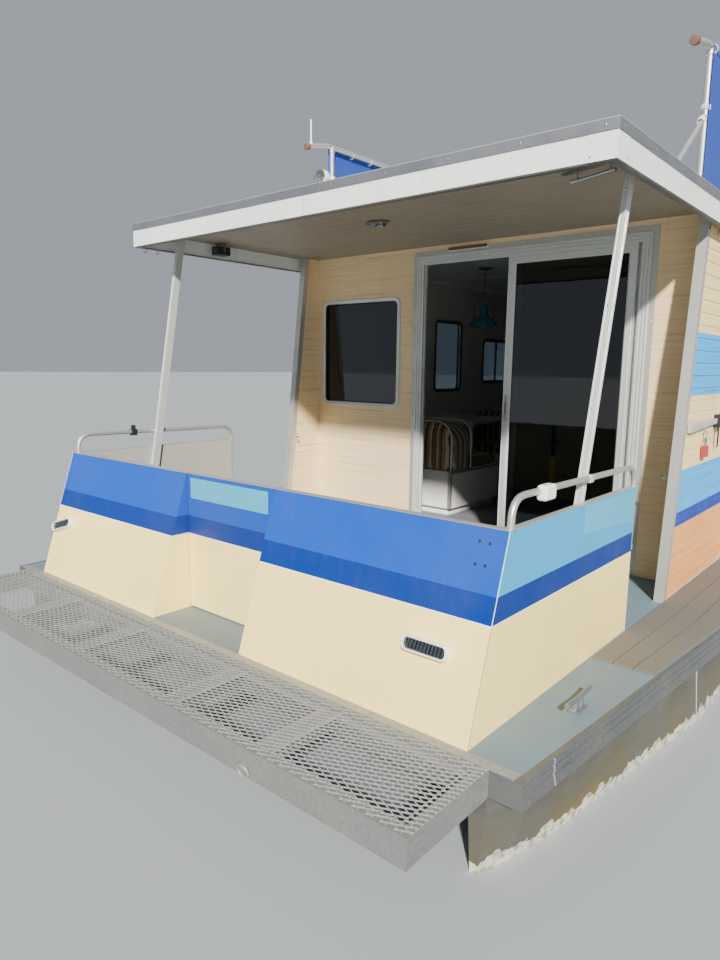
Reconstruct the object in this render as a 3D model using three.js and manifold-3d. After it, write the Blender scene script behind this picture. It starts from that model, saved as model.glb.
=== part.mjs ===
// A twin-hull cabin houseboat with a front patio deck, as a scene graph of separate pieces.
// Millimetres, +X to the bow, +Y to port, +Z up.
// The origin is on the waterline, on the centreline, amidships.
import * as THREE from "three";
import { mergeVertices } from "three/addons/utils/BufferGeometryUtils.js";
import Module from "manifold-3d";

const wasm = await Module();
wasm.setup();

// Driving dimensions
const GAP = 0.3;
const BOW = 5000;
const STERN = -5000;
const DECK_TOP = 400;
const DECK_BOTTOM = 340;
const RIM_BOTTOM = 305;
const CABIN_HALF = 1505;
const WALL = 40;
const CABIN_FRONT = 2586;
const CABIN_AFT = -4000;
const CEILING = 2494;
const ROOF_TOP = 2530;
const ROOF_HALF = 1568;
const ROOF_FRONT = 4205;
const ROOF_AFT = -4700;
const FASCIA_BOTTOM = 2396;
const BULWARK_TOP = 1104;
const BULWARK_HALF = 1495;
const BULWARK_FOOT = 4955;
const BULWARK_HEAD = 4730;
const BULWARK_AFT = 3522;
const PANEL = 30;
const GATE_HALF = 330;

// Finishes
const finish = (color, roughness, metalness = 0) =>
  new THREE.MeshStandardMaterial({ color, roughness, metalness });
const CREAM = finish(0xede2c0, 0.45);
const SIDING = finish(0xf0d9a8, 0.6);
const WHITE = finish(0xe8ecea, 0.4);
const ALUMINIUM = finish(0xa5a59e, 0.45, 0.9);
const GALVANISED = finish(0x969691, 0.6, 0.8);
const HULL_METAL = finish(0x8f8d82, 0.6, 0.6);
const DECK_PAINT = finish(0xa0afac, 0.7);
const WALK = finish(0x969187, 0.85);
const DRIP_METAL = finish(0x87888e, 0.5, 0.7);
const GLASS = finish(0x20282c, 0.05);
const CANVAS = finish(0x123f8f, 0.9);
const LAMINATE = finish(0xe4e2dc, 0.5);
const STRIPED_CLOTH = finish(0xa58d6e, 0.95);
const TEAL_ENAMEL = finish(0x1f6f78, 0.3);
const LAMP_WHITE = finish(0xdcdcd6, 0.3);
const MOTOR_PAINT = finish(0x2b2d30, 0.35);

// Geometry helpers
function solid(geometry) {
  const bare = geometry.clone();
  bare.deleteAttribute("normal");
  bare.deleteAttribute("uv");
  const merged = mergeVertices(bare, 1e-3);
  const vertProperties = new Float32Array(merged.attributes.position.array);
  const triVerts = new Uint32Array(merged.index.array);
  return new wasm.Manifold(new wasm.Mesh({ numProp: 3, vertProperties, triVerts }));
}

function geometryOf(body) {
  const mesh = body.getMesh();
  const geometry = new THREE.BufferGeometry();
  geometry.setAttribute("position", new THREE.BufferAttribute(new Float32Array(mesh.vertProperties), 3));
  geometry.setIndex(new THREE.BufferAttribute(new Uint32Array(mesh.triVerts), 1));
  geometry.computeVertexNormals();
  return geometry;
}

const join = (...geometries) => geometryOf(geometries.map(solid).reduce((a, b) => a.add(b)));
const cut = (geometry, ...tools) =>
  geometryOf(tools.map(solid).reduce((a, b) => a.subtract(b), solid(geometry)));

function box(x0, x1, y0, y1, z0, z1) {
  const geometry = new THREE.BoxGeometry(x1 - x0, y1 - y0, z1 - z0);
  return geometry.translate((x0 + x1) / 2, (y0 + y1) / 2, (z0 + z1) / 2);
}

// A frame's matrix takes local (across, up, out) to the boat's axes.
const frame = (across, up, out, origin = [0, 0, 0]) =>
  new THREE.Matrix4()
    .makeBasis(new THREE.Vector3(...across), new THREE.Vector3(...up), new THREE.Vector3(...out))
    .setPosition(...origin);
const outline = (points) => new THREE.Shape(points.map(([a, b]) => new THREE.Vector2(a, b)));
const extrude = (shape, depth, curveSegments = 4) =>
  new THREE.ExtrudeGeometry(shape, { depth, bevelEnabled: false, curveSegments });

// Prisms: points in (x, z) and in (x, y)
const prismY = (points, y0, y1) =>
  extrude(outline(points), y1 - y0).applyMatrix4(frame([1, 0, 0], [0, 0, 1], [0, -1, 0], [0, y1, 0]));
const prismZ = (points, z0, z1) => extrude(outline(points), z1 - z0).translate(0, 0, z0);

function roundedRectangle(width, height, radius) {
  const w = width / 2 - radius;
  const h = height / 2 - radius;
  const shape = new THREE.Shape();
  shape.absarc(w, h, radius, 0, Math.PI / 2);
  shape.absarc(-w, h, radius, Math.PI / 2, Math.PI);
  shape.absarc(-w, -h, radius, Math.PI, 1.5 * Math.PI);
  shape.absarc(w, -h, radius, 1.5 * Math.PI, 2 * Math.PI);
  return shape;
}

// A closed skin over sections that all have the same number of points.
function loft(sections) {
  const count = sections[0].length;
  const points = sections.flat().map((p) => new THREE.Vector3(...p));
  const index = [];
  for (let s = 0; s + 1 < sections.length; s++)
    for (let k = 0; k < count; k++) {
      const a = s * count + k;
      const b = s * count + ((k + 1) % count);
      index.push(a, b, b + count, a, b + count, a + count);
    }
  const cap = (first, reversed) => {
    const ring = points.slice(first, first + count);
    const normal = new THREE.Vector3();
    ring.forEach((p, k) => normal.add(p.clone().cross(ring[(k + 1) % count])));
    const across = ring[1].clone().sub(ring[0]).normalize();
    const up = normal.normalize().clone().cross(across);
    const flat = ring.map((p) => new THREE.Vector2(p.dot(across), p.dot(up)));
    for (const [i, j, k] of THREE.ShapeUtils.triangulateShape(flat, []))
      index.push(...(reversed ? [first + k, first + j, first + i] : [first + i, first + j, first + k]));
  };
  cap(0, true);
  cap(points.length - count, false);
  const geometry = new THREE.BufferGeometry().setFromPoints(points);
  const volume = index.reduce((sum, _, i) => {
    if (i % 3) return sum;
    const [a, b, c] = index.slice(i, i + 3).map((k) => points[k]);
    return sum + a.dot(b.clone().cross(c));
  }, 0);
  geometry.setIndex(volume < 0 ? index.reverse() : index);
  return geometry;
}

// A round bar through corner points; corners bend in a few steps.
function pipe(corners, radius, bend = 0, sides = 8) {
  const at = corners.map((p) => new THREE.Vector3(...p));
  const path = [at[0]];
  for (let i = 1; i + 1 < at.length; i++) {
    const before = at[i].clone().add(at[i - 1].clone().sub(at[i]).setLength(bend));
    const after = at[i].clone().add(at[i + 1].clone().sub(at[i]).setLength(bend));
    const turn = new THREE.QuadraticBezierCurve3(before, at[i], after);
    path.push(...(bend > 0 ? turn.getPoints(4) : [at[i]]));
  }
  path.push(at[at.length - 1]);
  const heading = (i) =>
    path[Math.min(i + 1, path.length - 1)].clone().sub(path[i]).normalize()
      .add(path[i].clone().sub(path[Math.max(i - 1, 0)]).normalize()).normalize();
  let side = new THREE.Vector3(0.31, 0.17, 0.94);
  const sections = path.map((centre, i) => {
    const along = heading(i);
    side = side.clone().addScaledVector(along, -side.dot(along)).normalize();
    const other = along.clone().cross(side);
    return Array.from({ length: sides }, (_, k) => {
      const angle = (2 * Math.PI * k) / sides;
      const p = centre.clone().addScaledVector(side, radius * Math.cos(angle));
      p.addScaledVector(other, radius * Math.sin(angle));
      return [p.x, p.y, p.z];
    });
  });
  return loft(sections);
}

// Straight-line reading of a table whose first column is x, falling from the bow to the stern.
function along(table, x, column) {
  const i = Math.max(1, table.findIndex((row) => row[0] <= x));
  const [fore, aft] = [table[i - 1], table[i]];
  return fore[column] + ((fore[column] - aft[column]) * (x - fore[0])) / (fore[0] - aft[0]);
}

const boat = new THREE.Group();
function add(name, geometry, material, mirrored = false) {
  const mesh = new THREE.Mesh(geometry, material);
  mesh.name = name;
  if (mirrored) mesh.scale.y = -1;
  boat.add(mesh);
  return mesh;
}
const SIDES = [["port", false], ["starboard", true]];

// Twin hulls: columns x, topOuter, waterOuter, topInner, waterInner, keel, top
const HULL_STATIONS = [
  [4985, 1590, 1566, 1520, 1538, -60, 304],
  [4850, 1672, 1608, 1430, 1490, -150, 304],
  [4580, 1706, 1668, 1310, 1390, -230, 339.7],
  [4000, 1752, 1745, 1150, 1200, -280, 339.7],
  [3400, 1808, 1828, 1030, 1050, -300, 339.7],
  [2000, 1840, 1845, 980, 990, -300, 339.7],
  [-4400, 1840, 1845, 980, 990, -300, 339.7],
  [-4990, 1820, 1812, 1000, 1010, -220, 339.7],
];
const CHINE = 0.3;
const KNUCKLE_LINE = 240;
for (const [side, mirrored] of SIDES) {
  const sections = HULL_STATIONS.map(([x, topOuter, waterOuter, topInner, waterInner, keel, top]) => {
    const tuck = CHINE * (waterOuter - waterInner);
    return [
      [x, topOuter, top],
      [x, topOuter, KNUCKLE_LINE],
      [x, waterOuter, 0],
      [x, waterOuter - tuck / 4, keel * 0.75],
      [x, waterOuter - tuck, keel],
      [x, waterInner + tuck, keel],
      [x, waterInner, 0],
      [x, topInner, top],
    ];
  });
  add("hull_" + side, loft(sections), HULL_METAL, mirrored);
}

// Deck edge: columns x, half width
const DECK_EDGE = [
  [BOW, 1690],
  [4660, 1719],
  [4130, 1762],
  [3450, 1816],
  [3180, 1837],
  [2000, 1850],
  [-4400, 1850],
  [STERN, 1830],
];
const CLEAT_X = [4434, -4560];
const CLEAT_Y = 1650;
const CLEAT = { base: [45, 18, 8], leg: [14, 32, 8], height: 45, horn: 105, rise: 6, radius: 9 };
function cleat(x, y) {
  const [baseX, baseY, thick] = CLEAT.base;
  const [near, far, legY] = CLEAT.leg;
  const top = DECK_TOP + CLEAT.height;
  const tip = top + CLEAT.rise;
  return join(
    box(x - baseX, x + baseX, y - baseY, y + baseY, DECK_TOP - 1, DECK_TOP + thick),
    box(x - far, x - near, y - legY, y + legY, DECK_TOP, top),
    box(x + near, x + far, y - legY, y + legY, DECK_TOP, top),
    pipe([[x - CLEAT.horn, y, tip], [x, y, top], [x + CLEAT.horn, y, tip]], CLEAT.radius),
  );
}
const BEAM_X = [3300, 1500, -300, -2100, -3900];
const BEAM = { half: 970, width: 100, depth: 80 };
const FRONT_RIM = { half: 1685, thick: 60 };
const edge = [...DECK_EDGE.map(([x, y]) => [x, y]), ...DECK_EDGE.map(([x, y]) => [x, -y]).reverse()];
const beams = BEAM_X.map((x) => {
  const [x0, x1] = [x - BEAM.width / 2, x + BEAM.width / 2];
  return box(x0, x1, -BEAM.half, BEAM.half, DECK_BOTTOM - BEAM.depth, DECK_BOTTOM + 1);
});
const { half: rimHalf, thick: rimThick } = FRONT_RIM;
const frontRim = box(BOW - rimThick, BOW, -rimHalf, rimHalf, RIM_BOTTOM, DECK_BOTTOM + 1);
const cleats = CLEAT_X.flatMap((x) => [cleat(x, CLEAT_Y), cleat(x, -CLEAT_Y)]);
add("deck", join(prismZ(edge, DECK_BOTTOM, DECK_TOP), frontRim, ...beams, ...cleats), DECK_PAINT);

// Gunwale bands: columns out from the deck edge, height
const BAND_SECTION = [
  [GAP, DECK_TOP],
  [20, DECK_TOP],
  [24, 394],
  [24, 380],
  [19, 375],
  [24, 370],
  [24, 350],
  [19, 345],
  [24, 340],
  [28, 322],
  [30, RIM_BOTTOM],
  [GAP, RIM_BOTTOM],
];
for (const [side, mirrored] of SIDES) {
  const sections = DECK_EDGE.map(([x, y]) => BAND_SECTION.map(([out, z]) => [x, y + out, z]));
  add("gunwale_" + side, loft(sections), ALUMINIUM, mirrored);
}

// Non-skid side walks
const WALK_FRONT = 3950;
const WALK_AFT = -4300;
const WALK_INNER = 1512;
const WALK_THICK = 8;
const WALK_INSET = 6;
const walkStations = [WALK_FRONT, 3450, 3180, 2000, WALK_AFT];
for (const [side, mirrored] of SIDES) {
  const outer = walkStations.map((x) => [x, along(DECK_EDGE, x, 1) - WALK_INSET]);
  const shape = [[WALK_AFT, WALK_INNER], [WALK_FRONT, WALK_INNER], ...outer];
  add("side_walk_" + side, prismZ(shape, DECK_TOP, DECK_TOP + WALK_THICK), WALK, mirrored);
}

// Boarding platform: rail frame with cross-bars, and a grating of diamonds
const PLATFORM_FRONT = 5430;
const PLATFORM_HALF = 1600;
const PLATFORM_BOTTOM = 300;
const RAIL = 35;
const CROSS_BARS = [970, 450, -270, -900];
const BAR_HALF = 17;
const BAR_BOTTOM = 335;
const GRATING = 4;
const crossBars = CROSS_BARS.map((y) =>
  box(BOW + 5, PLATFORM_FRONT - 5, y - BAR_HALF, y + BAR_HALF, BAR_BOTTOM, DECK_TOP - GRATING));
add(
  "platform_frame",
  join(
    box(PLATFORM_FRONT - RAIL, PLATFORM_FRONT, -PLATFORM_HALF, PLATFORM_HALF, PLATFORM_BOTTOM, DECK_TOP),
    box(BOW, BOW + RAIL, -PLATFORM_HALF, PLATFORM_HALF, PLATFORM_BOTTOM, DECK_TOP),
    box(BOW, PLATFORM_FRONT, PLATFORM_HALF - RAIL, PLATFORM_HALF, PLATFORM_BOTTOM, DECK_TOP),
    box(BOW, PLATFORM_FRONT, -PLATFORM_HALF, RAIL - PLATFORM_HALF, PLATFORM_BOTTOM, DECK_TOP),
    ...crossBars,
  ),
  GALVANISED,
);
const DIAMOND_LONG = 144;
const DIAMOND_SHORT = 56;
const HOLE_SHARE = 0.74;
const MARGIN = 10;
function grating() {
  const x0 = BOW + RAIL + GAP;
  const x1 = PLATFORM_FRONT - RAIL - GAP;
  const y1 = PLATFORM_HALF - RAIL - GAP;
  const shape = outline([[x0, -y1], [x1, -y1], [x1, y1], [x0, y1]]);
  const stops = [y1, ...CROSS_BARS, -y1];
  for (let cell = 0; cell + 1 < stops.length; cell++) {
    const high = stops[cell] - (cell ? BAR_HALF : 0);
    const low = stops[cell + 1] + (cell + 2 < stops.length ? BAR_HALF : 0);
    const across = Math.floor((high - low - 2 * MARGIN) / DIAMOND_LONG);
    const down = Math.floor((x1 - x0 - 2 * MARGIN) / DIAMOND_SHORT);
    const [midX, midY] = [(x0 + x1) / 2, (high + low) / 2];
    const half = [(HOLE_SHARE * DIAMOND_SHORT) / 2, (HOLE_SHARE * DIAMOND_LONG) / 2];
    for (let row = 0; row < 2 * down - 1; row++)
      for (let col = 0; col < across - (row % 2); col++) {
        const x = midX + ((row - (down - 1)) * DIAMOND_SHORT) / 2;
        const y = midY + (col - (across - 1 - (row % 2)) / 2) * DIAMOND_LONG;
        shape.holes.push(
          new THREE.Path([[x - half[0], y], [x, y + half[1]], [x + half[0], y], [x, y - half[1]]]
            .map(([a, b]) => new THREE.Vector2(a, b))),
        );
      }
  }
  return extrude(shape, GRATING).translate(0, 0, DECK_TOP - GRATING);
}
add("platform_grating", grating(), GALVANISED);

// Hinge: a fixed pin with two leaves, and a sleeve between them on a moving leaf.
// Leaves are [x0, x1, y0, y1].
const PIN = 5;
const SLEEVE = 9;
const KNUCKLE = 80;
const upright = (x, y, z0, z1, radius, sides = 12) => pipe([[x, y, z0], [x, y, z1]], radius, 0, sides);
function hinge(x, y, z, fixedLeaf, movingLeaf) {
  const third = KNUCKLE / 3;
  const fixed = [
    upright(x, y, z, z + KNUCKLE, PIN),
    box(...fixedLeaf, z, z + third),
    box(...fixedLeaf, z + 2 * third, z + KNUCKLE),
  ];
  const sleeve = join(
    upright(x, y, z + third + 1, z + 2 * third - 1, SLEEVE),
    box(...movingLeaf, z + third + 1, z + 2 * third - 1),
  );
  return { fixed, moving: cut(sleeve, upright(x, y, z, z + KNUCKLE, PIN + 2 * GAP)) };
}

// Bow bulwark: sloped front panels with cheeks, side panels, gate
const GATE_BACK = 4700;
const GATE_THICK = 28;
const GATE_CLEAR = 8;
const CHEEK = 25;
const GATE_AXIS = [GATE_BACK - 12, -GATE_HALF];
const slope = Math.atan2(BULWARK_FOOT - BULWARK_HEAD, BULWARK_TOP - DECK_TOP);
const panelBack = PANEL / Math.cos(slope);
const FRONT_PANEL = [
  [BULWARK_FOOT, DECK_TOP],
  [BULWARK_HEAD, BULWARK_TOP],
  [BULWARK_HEAD - panelBack, BULWARK_TOP],
  [BULWARK_FOOT - panelBack, DECK_TOP],
];
const CHEEK_SHAPE = [
  [BULWARK_FOOT, DECK_TOP],
  [BULWARK_HEAD, BULWARK_TOP],
  [BULWARK_HEAD - panelBack, BULWARK_TOP],
  [BULWARK_HEAD - panelBack, DECK_TOP],
];
const HINGE_HEIGHTS = [520, 900];
const gateHinges = HINGE_HEIGHTS.map((z) =>
  hinge(
    ...GATE_AXIS,
    z,
    [GATE_AXIS[0] - 4, BULWARK_HEAD - panelBack + 1, -GATE_HALF - CHEEK, -GATE_HALF - 1],
    [GATE_AXIS[0] + 4, GATE_BACK + 1, -GATE_HALF + 6, -GATE_HALF + 45],
  ));
for (const [side, mirrored] of SIDES) {
  const pieces = [
    prismY(FRONT_PANEL, GATE_HALF, BULWARK_HALF - PANEL - GAP),
    prismY(CHEEK_SHAPE, GATE_HALF, GATE_HALF + CHEEK),
  ];
  if (mirrored) {
    const pins = gateHinges.flatMap((h) => h.fixed).map((g) => g.scale(1, -1, 1));
    pins.forEach((g) => g.index.array.reverse());
    pieces.push(...pins);
  }
  add("bulwark_front_" + side, join(...pieces), CREAM, mirrored);
  const sidePanel = [
    [BULWARK_FOOT, DECK_TOP],
    [BULWARK_HEAD, BULWARK_TOP],
    [BULWARK_AFT, BULWARK_TOP],
    [BULWARK_AFT, DECK_TOP],
  ];
  add("bulwark_side_" + side, prismY(sidePanel, BULWARK_HALF - PANEL, BULWARK_HALF), CREAM, mirrored);
}
const gateHalf = GATE_HALF - GATE_CLEAR;
add(
  "bow_gate",
  join(
    box(GATE_BACK, GATE_BACK + GATE_THICK, -gateHalf, gateHalf, DECK_TOP + 8, BULWARK_TOP),
    ...gateHinges.map((h) => h.moving),
  ),
  CREAM,
);

// Bent hand rails on the side panels: up from the fore end, along, and down behind the aft end
const RAIL_RADIUS = 13;
const RAIL_BEND = 90;
const railAft = BULWARK_AFT - RAIL_RADIUS - GAP;
// Columns: x, z
const HAND_RAIL = [
  [4700, BULWARK_TOP + GAP],
  [4700, 1214],
  [railAft, 1200],
  [railAft, 800],
];
for (const [side, mirrored] of SIDES) {
  const path = HAND_RAIL.map(([x, z]) => [x, BULWARK_HALF - PANEL / 2, z]);
  add("hand_rail_" + side, pipe(path, RAIL_RADIUS, RAIL_BEND, 10), ALUMINIUM, mirrored);
}

// Leaning roof posts: feet inside the side panels, heads against the roof. The two lean unequally.
const POST_FOOT_Z = 950;
const POST_HEAD_Z = CEILING - GAP;
const POST_WIDTH = 50;
const POST_THICK = 24;
// Columns: side, mirrored, x of the foot, x of the head
const ROOF_POSTS = [
  ["port", false, 4105, 3745],
  ["starboard", true, 4190, 3920],
];
for (const [side, mirrored, footX, headX] of ROOF_POSTS) {
  const y1 = BULWARK_HALF - PANEL - GAP;
  const post = [
    [footX + POST_WIDTH / 2, POST_FOOT_Z],
    [headX + POST_WIDTH / 2, POST_HEAD_Z],
    [headX - POST_WIDTH / 2, POST_HEAD_Z],
    [footX - POST_WIDTH / 2, POST_FOOT_Z],
  ];
  add("roof_post_" + side, prismY(post, y1 - POST_THICK, y1), ALUMINIUM, mirrored);
}

// Docking lights: oval housings on the sloped panels. The starboard one has slipped and hangs askew.
const DOCK_LIGHT = [200, 62, 24];
// Columns: side, y, z, turn on the panel
const DOCK_LIGHTS = [
  ["port", 1265, 668, 0],
  ["starboard", -1385, 690, THREE.MathUtils.degToRad(18)],
];
const DOCK_LENS = { width: 156, height: 40, corner: 18, proud: 6 };
for (const [side, y, z, turn] of DOCK_LIGHTS) {
  const [width, height, depth] = DOCK_LIGHT;
  const sin = Math.sin(turn);
  const cos = Math.cos(turn);
  const across = [-sin * Math.sin(slope), cos, sin * Math.cos(slope)];
  const up = [-cos * Math.sin(slope), -sin, cos * Math.cos(slope)];
  const out = [Math.cos(slope), 0, Math.sin(slope)];
  const face = BULWARK_FOOT - Math.tan(slope) * (z - DECK_TOP);
  const rim = extrude(roundedRectangle(width, height, height / 2 - 0.5), depth);
  const lensShape = roundedRectangle(DOCK_LENS.width, DOCK_LENS.height, DOCK_LENS.corner);
  const lens = extrude(lensShape, depth + DOCK_LENS.proud);
  const light = join(rim, lens);
  light.applyMatrix4(frame(across, up, out, [face + GAP, y, z]));
  add("docking_light_" + side, light, LAMP_WHITE);
}

// Roof: panel, fascia and drip edge, all from one rectangle
const roofRectangle = (inset) => [
  [ROOF_AFT + inset, -ROOF_HALF + inset],
  [ROOF_FRONT - inset, -ROOF_HALF + inset],
  [ROOF_FRONT - inset, ROOF_HALF - inset],
  [ROOF_AFT + inset, ROOF_HALF - inset],
];
const roofRing = (outer, inner, z0, z1) =>
  cut(prismZ(roofRectangle(outer), z0, z1), prismZ(roofRectangle(inner), z0 - 1, z1 + 1));
add("roof", prismZ(roofRectangle(0), CEILING, ROOF_TOP), WHITE);
const FASCIA_THICK = 20;
add("roof_fascia", roofRing(0, FASCIA_THICK, FASCIA_BOTTOM, CEILING), WHITE);
const DRIP = { out: 5, lip: 32, above: 4 };
add(
  "roof_drip_edge",
  join(
    roofRing(-DRIP.out, -GAP, CEILING, ROOF_TOP + DRIP.above),
    roofRing(-DRIP.out, DRIP.lip, ROOF_TOP + GAP, ROOF_TOP + DRIP.above),
  ),
  DRIP_METAL,
);

// Dome lamp under the roof: an oval bowl turned from a unit profile, with its half sizes
const DOME = { x: 3490, y: -120, halfLength: 60, halfWidth: 85, depth: 42 };
const domeProfile = [[0, 0], [1, 0], [0.92, -0.45], [0.6, -0.85], [0, -1]];
const domePoints = domeProfile.map(([r, z]) => new THREE.Vector2(r, z)).reverse();
const domeShape = new THREE.LatheGeometry(domePoints, 12).rotateX(Math.PI / 2);
domeShape.scale(DOME.halfLength, DOME.halfWidth, DOME.depth).translate(DOME.x, DOME.y, CEILING - GAP);
add("dome_lamp", domeShape, LAMP_WHITE);

// Windows: a flange outside the wall, a body through it and a pane. Local axes: across, up, out.
const WALL_FRAMES = {
  front: [[0, 1, 0], [0, 0, 1], [1, 0, 0]],
  port: [[-1, 0, 0], [0, 0, 1], [0, 1, 0]],
  starboard: [[1, 0, 0], [0, 0, 1], [0, -1, 0]],
  aft: [[0, -1, 0], [0, 0, 1], [-1, 0, 0]],
};
const LAP = 20;
const CORNER = 65;
const FLANGE = 12;
const SASH = 35;
const SASH_CORNER = 30;
const PANE = { edge: 30, back: -20, front: -14 };
// A round-cornered block, inset all round, from one depth to another
const roundBlock = (width, height, inset, radius, back, front) => {
  const shape = roundedRectangle(width - 2 * inset, height - 2 * inset, radius);
  return extrude(shape, front - back, 2).translate(0, 0, back);
};
function windowPiece(width, height) {
  const flange = roundBlock(width, height, 0, CORNER, 0, FLANGE);
  const body = roundBlock(width, height, LAP + GAP / 2, CORNER - LAP, -WALL, 6);
  const clear = roundBlock(width, height, SASH, SASH_CORNER, -WALL - 10, WALL);
  const pane = roundBlock(width, height, PANE.edge, CORNER - PANE.edge, PANE.back, PANE.front);
  return join(cut(join(flange, body), clear), pane);
}
const windowHole = (width, height) => roundBlock(width, height, LAP, CORNER - LAP, -2 * WALL, WALL);

// Columns: name, wall, centre of its outside face, width, height
const DOOR_LEAF = 1503;
const AFT_LEAF = -3998;
const WINDOWS = [
  ["window_front", "front", [CABIN_FRONT, -1018, 1750], 795, 830],
  ["window_port_mid", "port", [-200, CABIN_HALF, 1720], 1000, 500],
  ["window_port_aft", "port", [-2500, CABIN_HALF, 1720], 1000, 500],
  ["window_starboard_fore", "starboard", [650, -CABIN_HALF, 1760], 520, 740],
  ["window_starboard_mid", "starboard", [-380, -CABIN_HALF, 1720], 700, 500],
  ["window_starboard_aft", "starboard", [-2500, -CABIN_HALF, 1720], 1000, 500],
  ["window_aft", "aft", [CABIN_AFT, -700, 1720], 800, 500],
];
const DOOR_WINDOWS = {
  side_door: ["port", [1960, DOOR_LEAF, 1670], 440, 640],
  aft_door: ["aft", [AFT_LEAF, 540, 1700], 440, 560],
};
const placed = (geometry, wall, centre) => geometry.applyMatrix4(frame(...WALL_FRAMES[wall], centre));
const holesIn = (...names) =>
  WINDOWS.filter(([name]) => names.includes(name))
    .map(([, wall, centre, w, h]) => placed(windowHole(w, h), wall, centre));
for (const [name, wall, centre, width, height] of WINDOWS)
  add(name, placed(windowPiece(width, height), wall, centre), GLASS);
function doorLeaf(name, leaf) {
  const [wall, centre, width, height] = DOOR_WINDOWS[name];
  const hole = roundBlock(width, height, 1.5 * LAP, CORNER - LAP, -2 * WALL, WALL);
  return join(cut(leaf, placed(hole, wall, centre)), placed(windowPiece(width, height), wall, centre));
}

// Cabin walls, as thick as the whole wall
const PATIO = { low: -470, high: 1180, top: 2430 };
const SIDE_DOOR = { aft: 1620, fore: 2300, bottom: 438, top: 2302 };
const AFT_DOOR = { low: 200, high: 880, bottom: 438, top: 2302 };
const DOOR_CLEAR = 8;
const TRIM = { foot: 2990, head: 2745, width: 45 };
const innerHalf = CABIN_HALF - WALL - GAP;
add(
  "wall_front",
  cut(
    box(CABIN_FRONT - WALL, CABIN_FRONT, -innerHalf, innerHalf, DECK_TOP, CEILING),
    box(CABIN_FRONT - 2 * WALL, CABIN_FRONT + WALL, PATIO.low, PATIO.high, DECK_TOP - 10, PATIO.top),
    ...holesIn("window_front"),
  ),
  SIDING,
);
const sideWall = (y0, y1) =>
  prismY(
    [
      [TRIM.foot - TRIM.width - GAP, DECK_TOP],
      [TRIM.head - TRIM.width - GAP, CEILING],
      [CABIN_AFT, CEILING],
      [CABIN_AFT, DECK_TOP],
    ],
    y0,
    y1,
  );
const SIDE_AXIS = [SIDE_DOOR.aft - 4, CABIN_HALF + 8];
const DOOR_HINGE_HEIGHTS = [700, 1900];
const sideHinges = DOOR_HINGE_HEIGHTS.map((z) =>
  hinge(
    ...SIDE_AXIS,
    z,
    [SIDE_AXIS[0] - 32, SIDE_AXIS[0] - 2, CABIN_HALF - 2, CABIN_HALF + 8],
    [SIDE_AXIS[0] + 4, SIDE_AXIS[0] + 40, DOOR_LEAF - 2, DOOR_LEAF + 8],
  ));
add(
  "wall_port",
  join(
    cut(
      sideWall(CABIN_HALF - WALL, CABIN_HALF),
      box(
        SIDE_DOOR.aft - DOOR_CLEAR, SIDE_DOOR.fore + DOOR_CLEAR,
        CABIN_HALF - 2 * WALL, CABIN_HALF + 2 * WALL,
        SIDE_DOOR.bottom - DOOR_CLEAR, SIDE_DOOR.top + DOOR_CLEAR,
      ),
      ...holesIn("window_port_mid", "window_port_aft"),
    ),
    ...sideHinges.flatMap((h) => h.fixed),
  ),
  SIDING,
);
add(
  "wall_starboard",
  cut(
    sideWall(-CABIN_HALF, -CABIN_HALF + WALL),
    ...holesIn("window_starboard_fore", "window_starboard_mid", "window_starboard_aft"),
  ),
  SIDING,
);
const AFT_AXIS = [CABIN_AFT - 8, AFT_DOOR.high + 4];
const aftHinges = DOOR_HINGE_HEIGHTS.map((z) =>
  hinge(
    ...AFT_AXIS,
    z,
    [CABIN_AFT - 8, CABIN_AFT + 2, AFT_AXIS[1] + 2, AFT_AXIS[1] + 32],
    [AFT_LEAF - 8, AFT_LEAF + 2, AFT_AXIS[1] - 40, AFT_AXIS[1] - 4],
  ));
add(
  "wall_aft",
  join(
    cut(
      box(CABIN_AFT, CABIN_AFT + WALL, -innerHalf, innerHalf, DECK_TOP, CEILING),
      box(
        CABIN_AFT - 2 * WALL, CABIN_AFT + 2 * WALL,
        AFT_DOOR.low - DOOR_CLEAR, AFT_DOOR.high + DOOR_CLEAR,
        AFT_DOOR.bottom - DOOR_CLEAR, AFT_DOOR.top + DOOR_CLEAR,
      ),
      ...holesIn("window_aft"),
    ),
    ...aftHinges.flatMap((h) => h.fixed),
  ),
  SIDING,
);
for (const [side, mirrored] of SIDES) {
  const shape = [
    [TRIM.foot, DECK_TOP],
    [TRIM.head, CEILING],
    [TRIM.head - TRIM.width, CEILING],
    [TRIM.foot - TRIM.width, DECK_TOP],
  ];
  add("wing_trim_" + side, prismY(shape, CABIN_HALF - WALL - 6, CABIN_HALF + 5), ALUMINIUM, mirrored);
}

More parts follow.
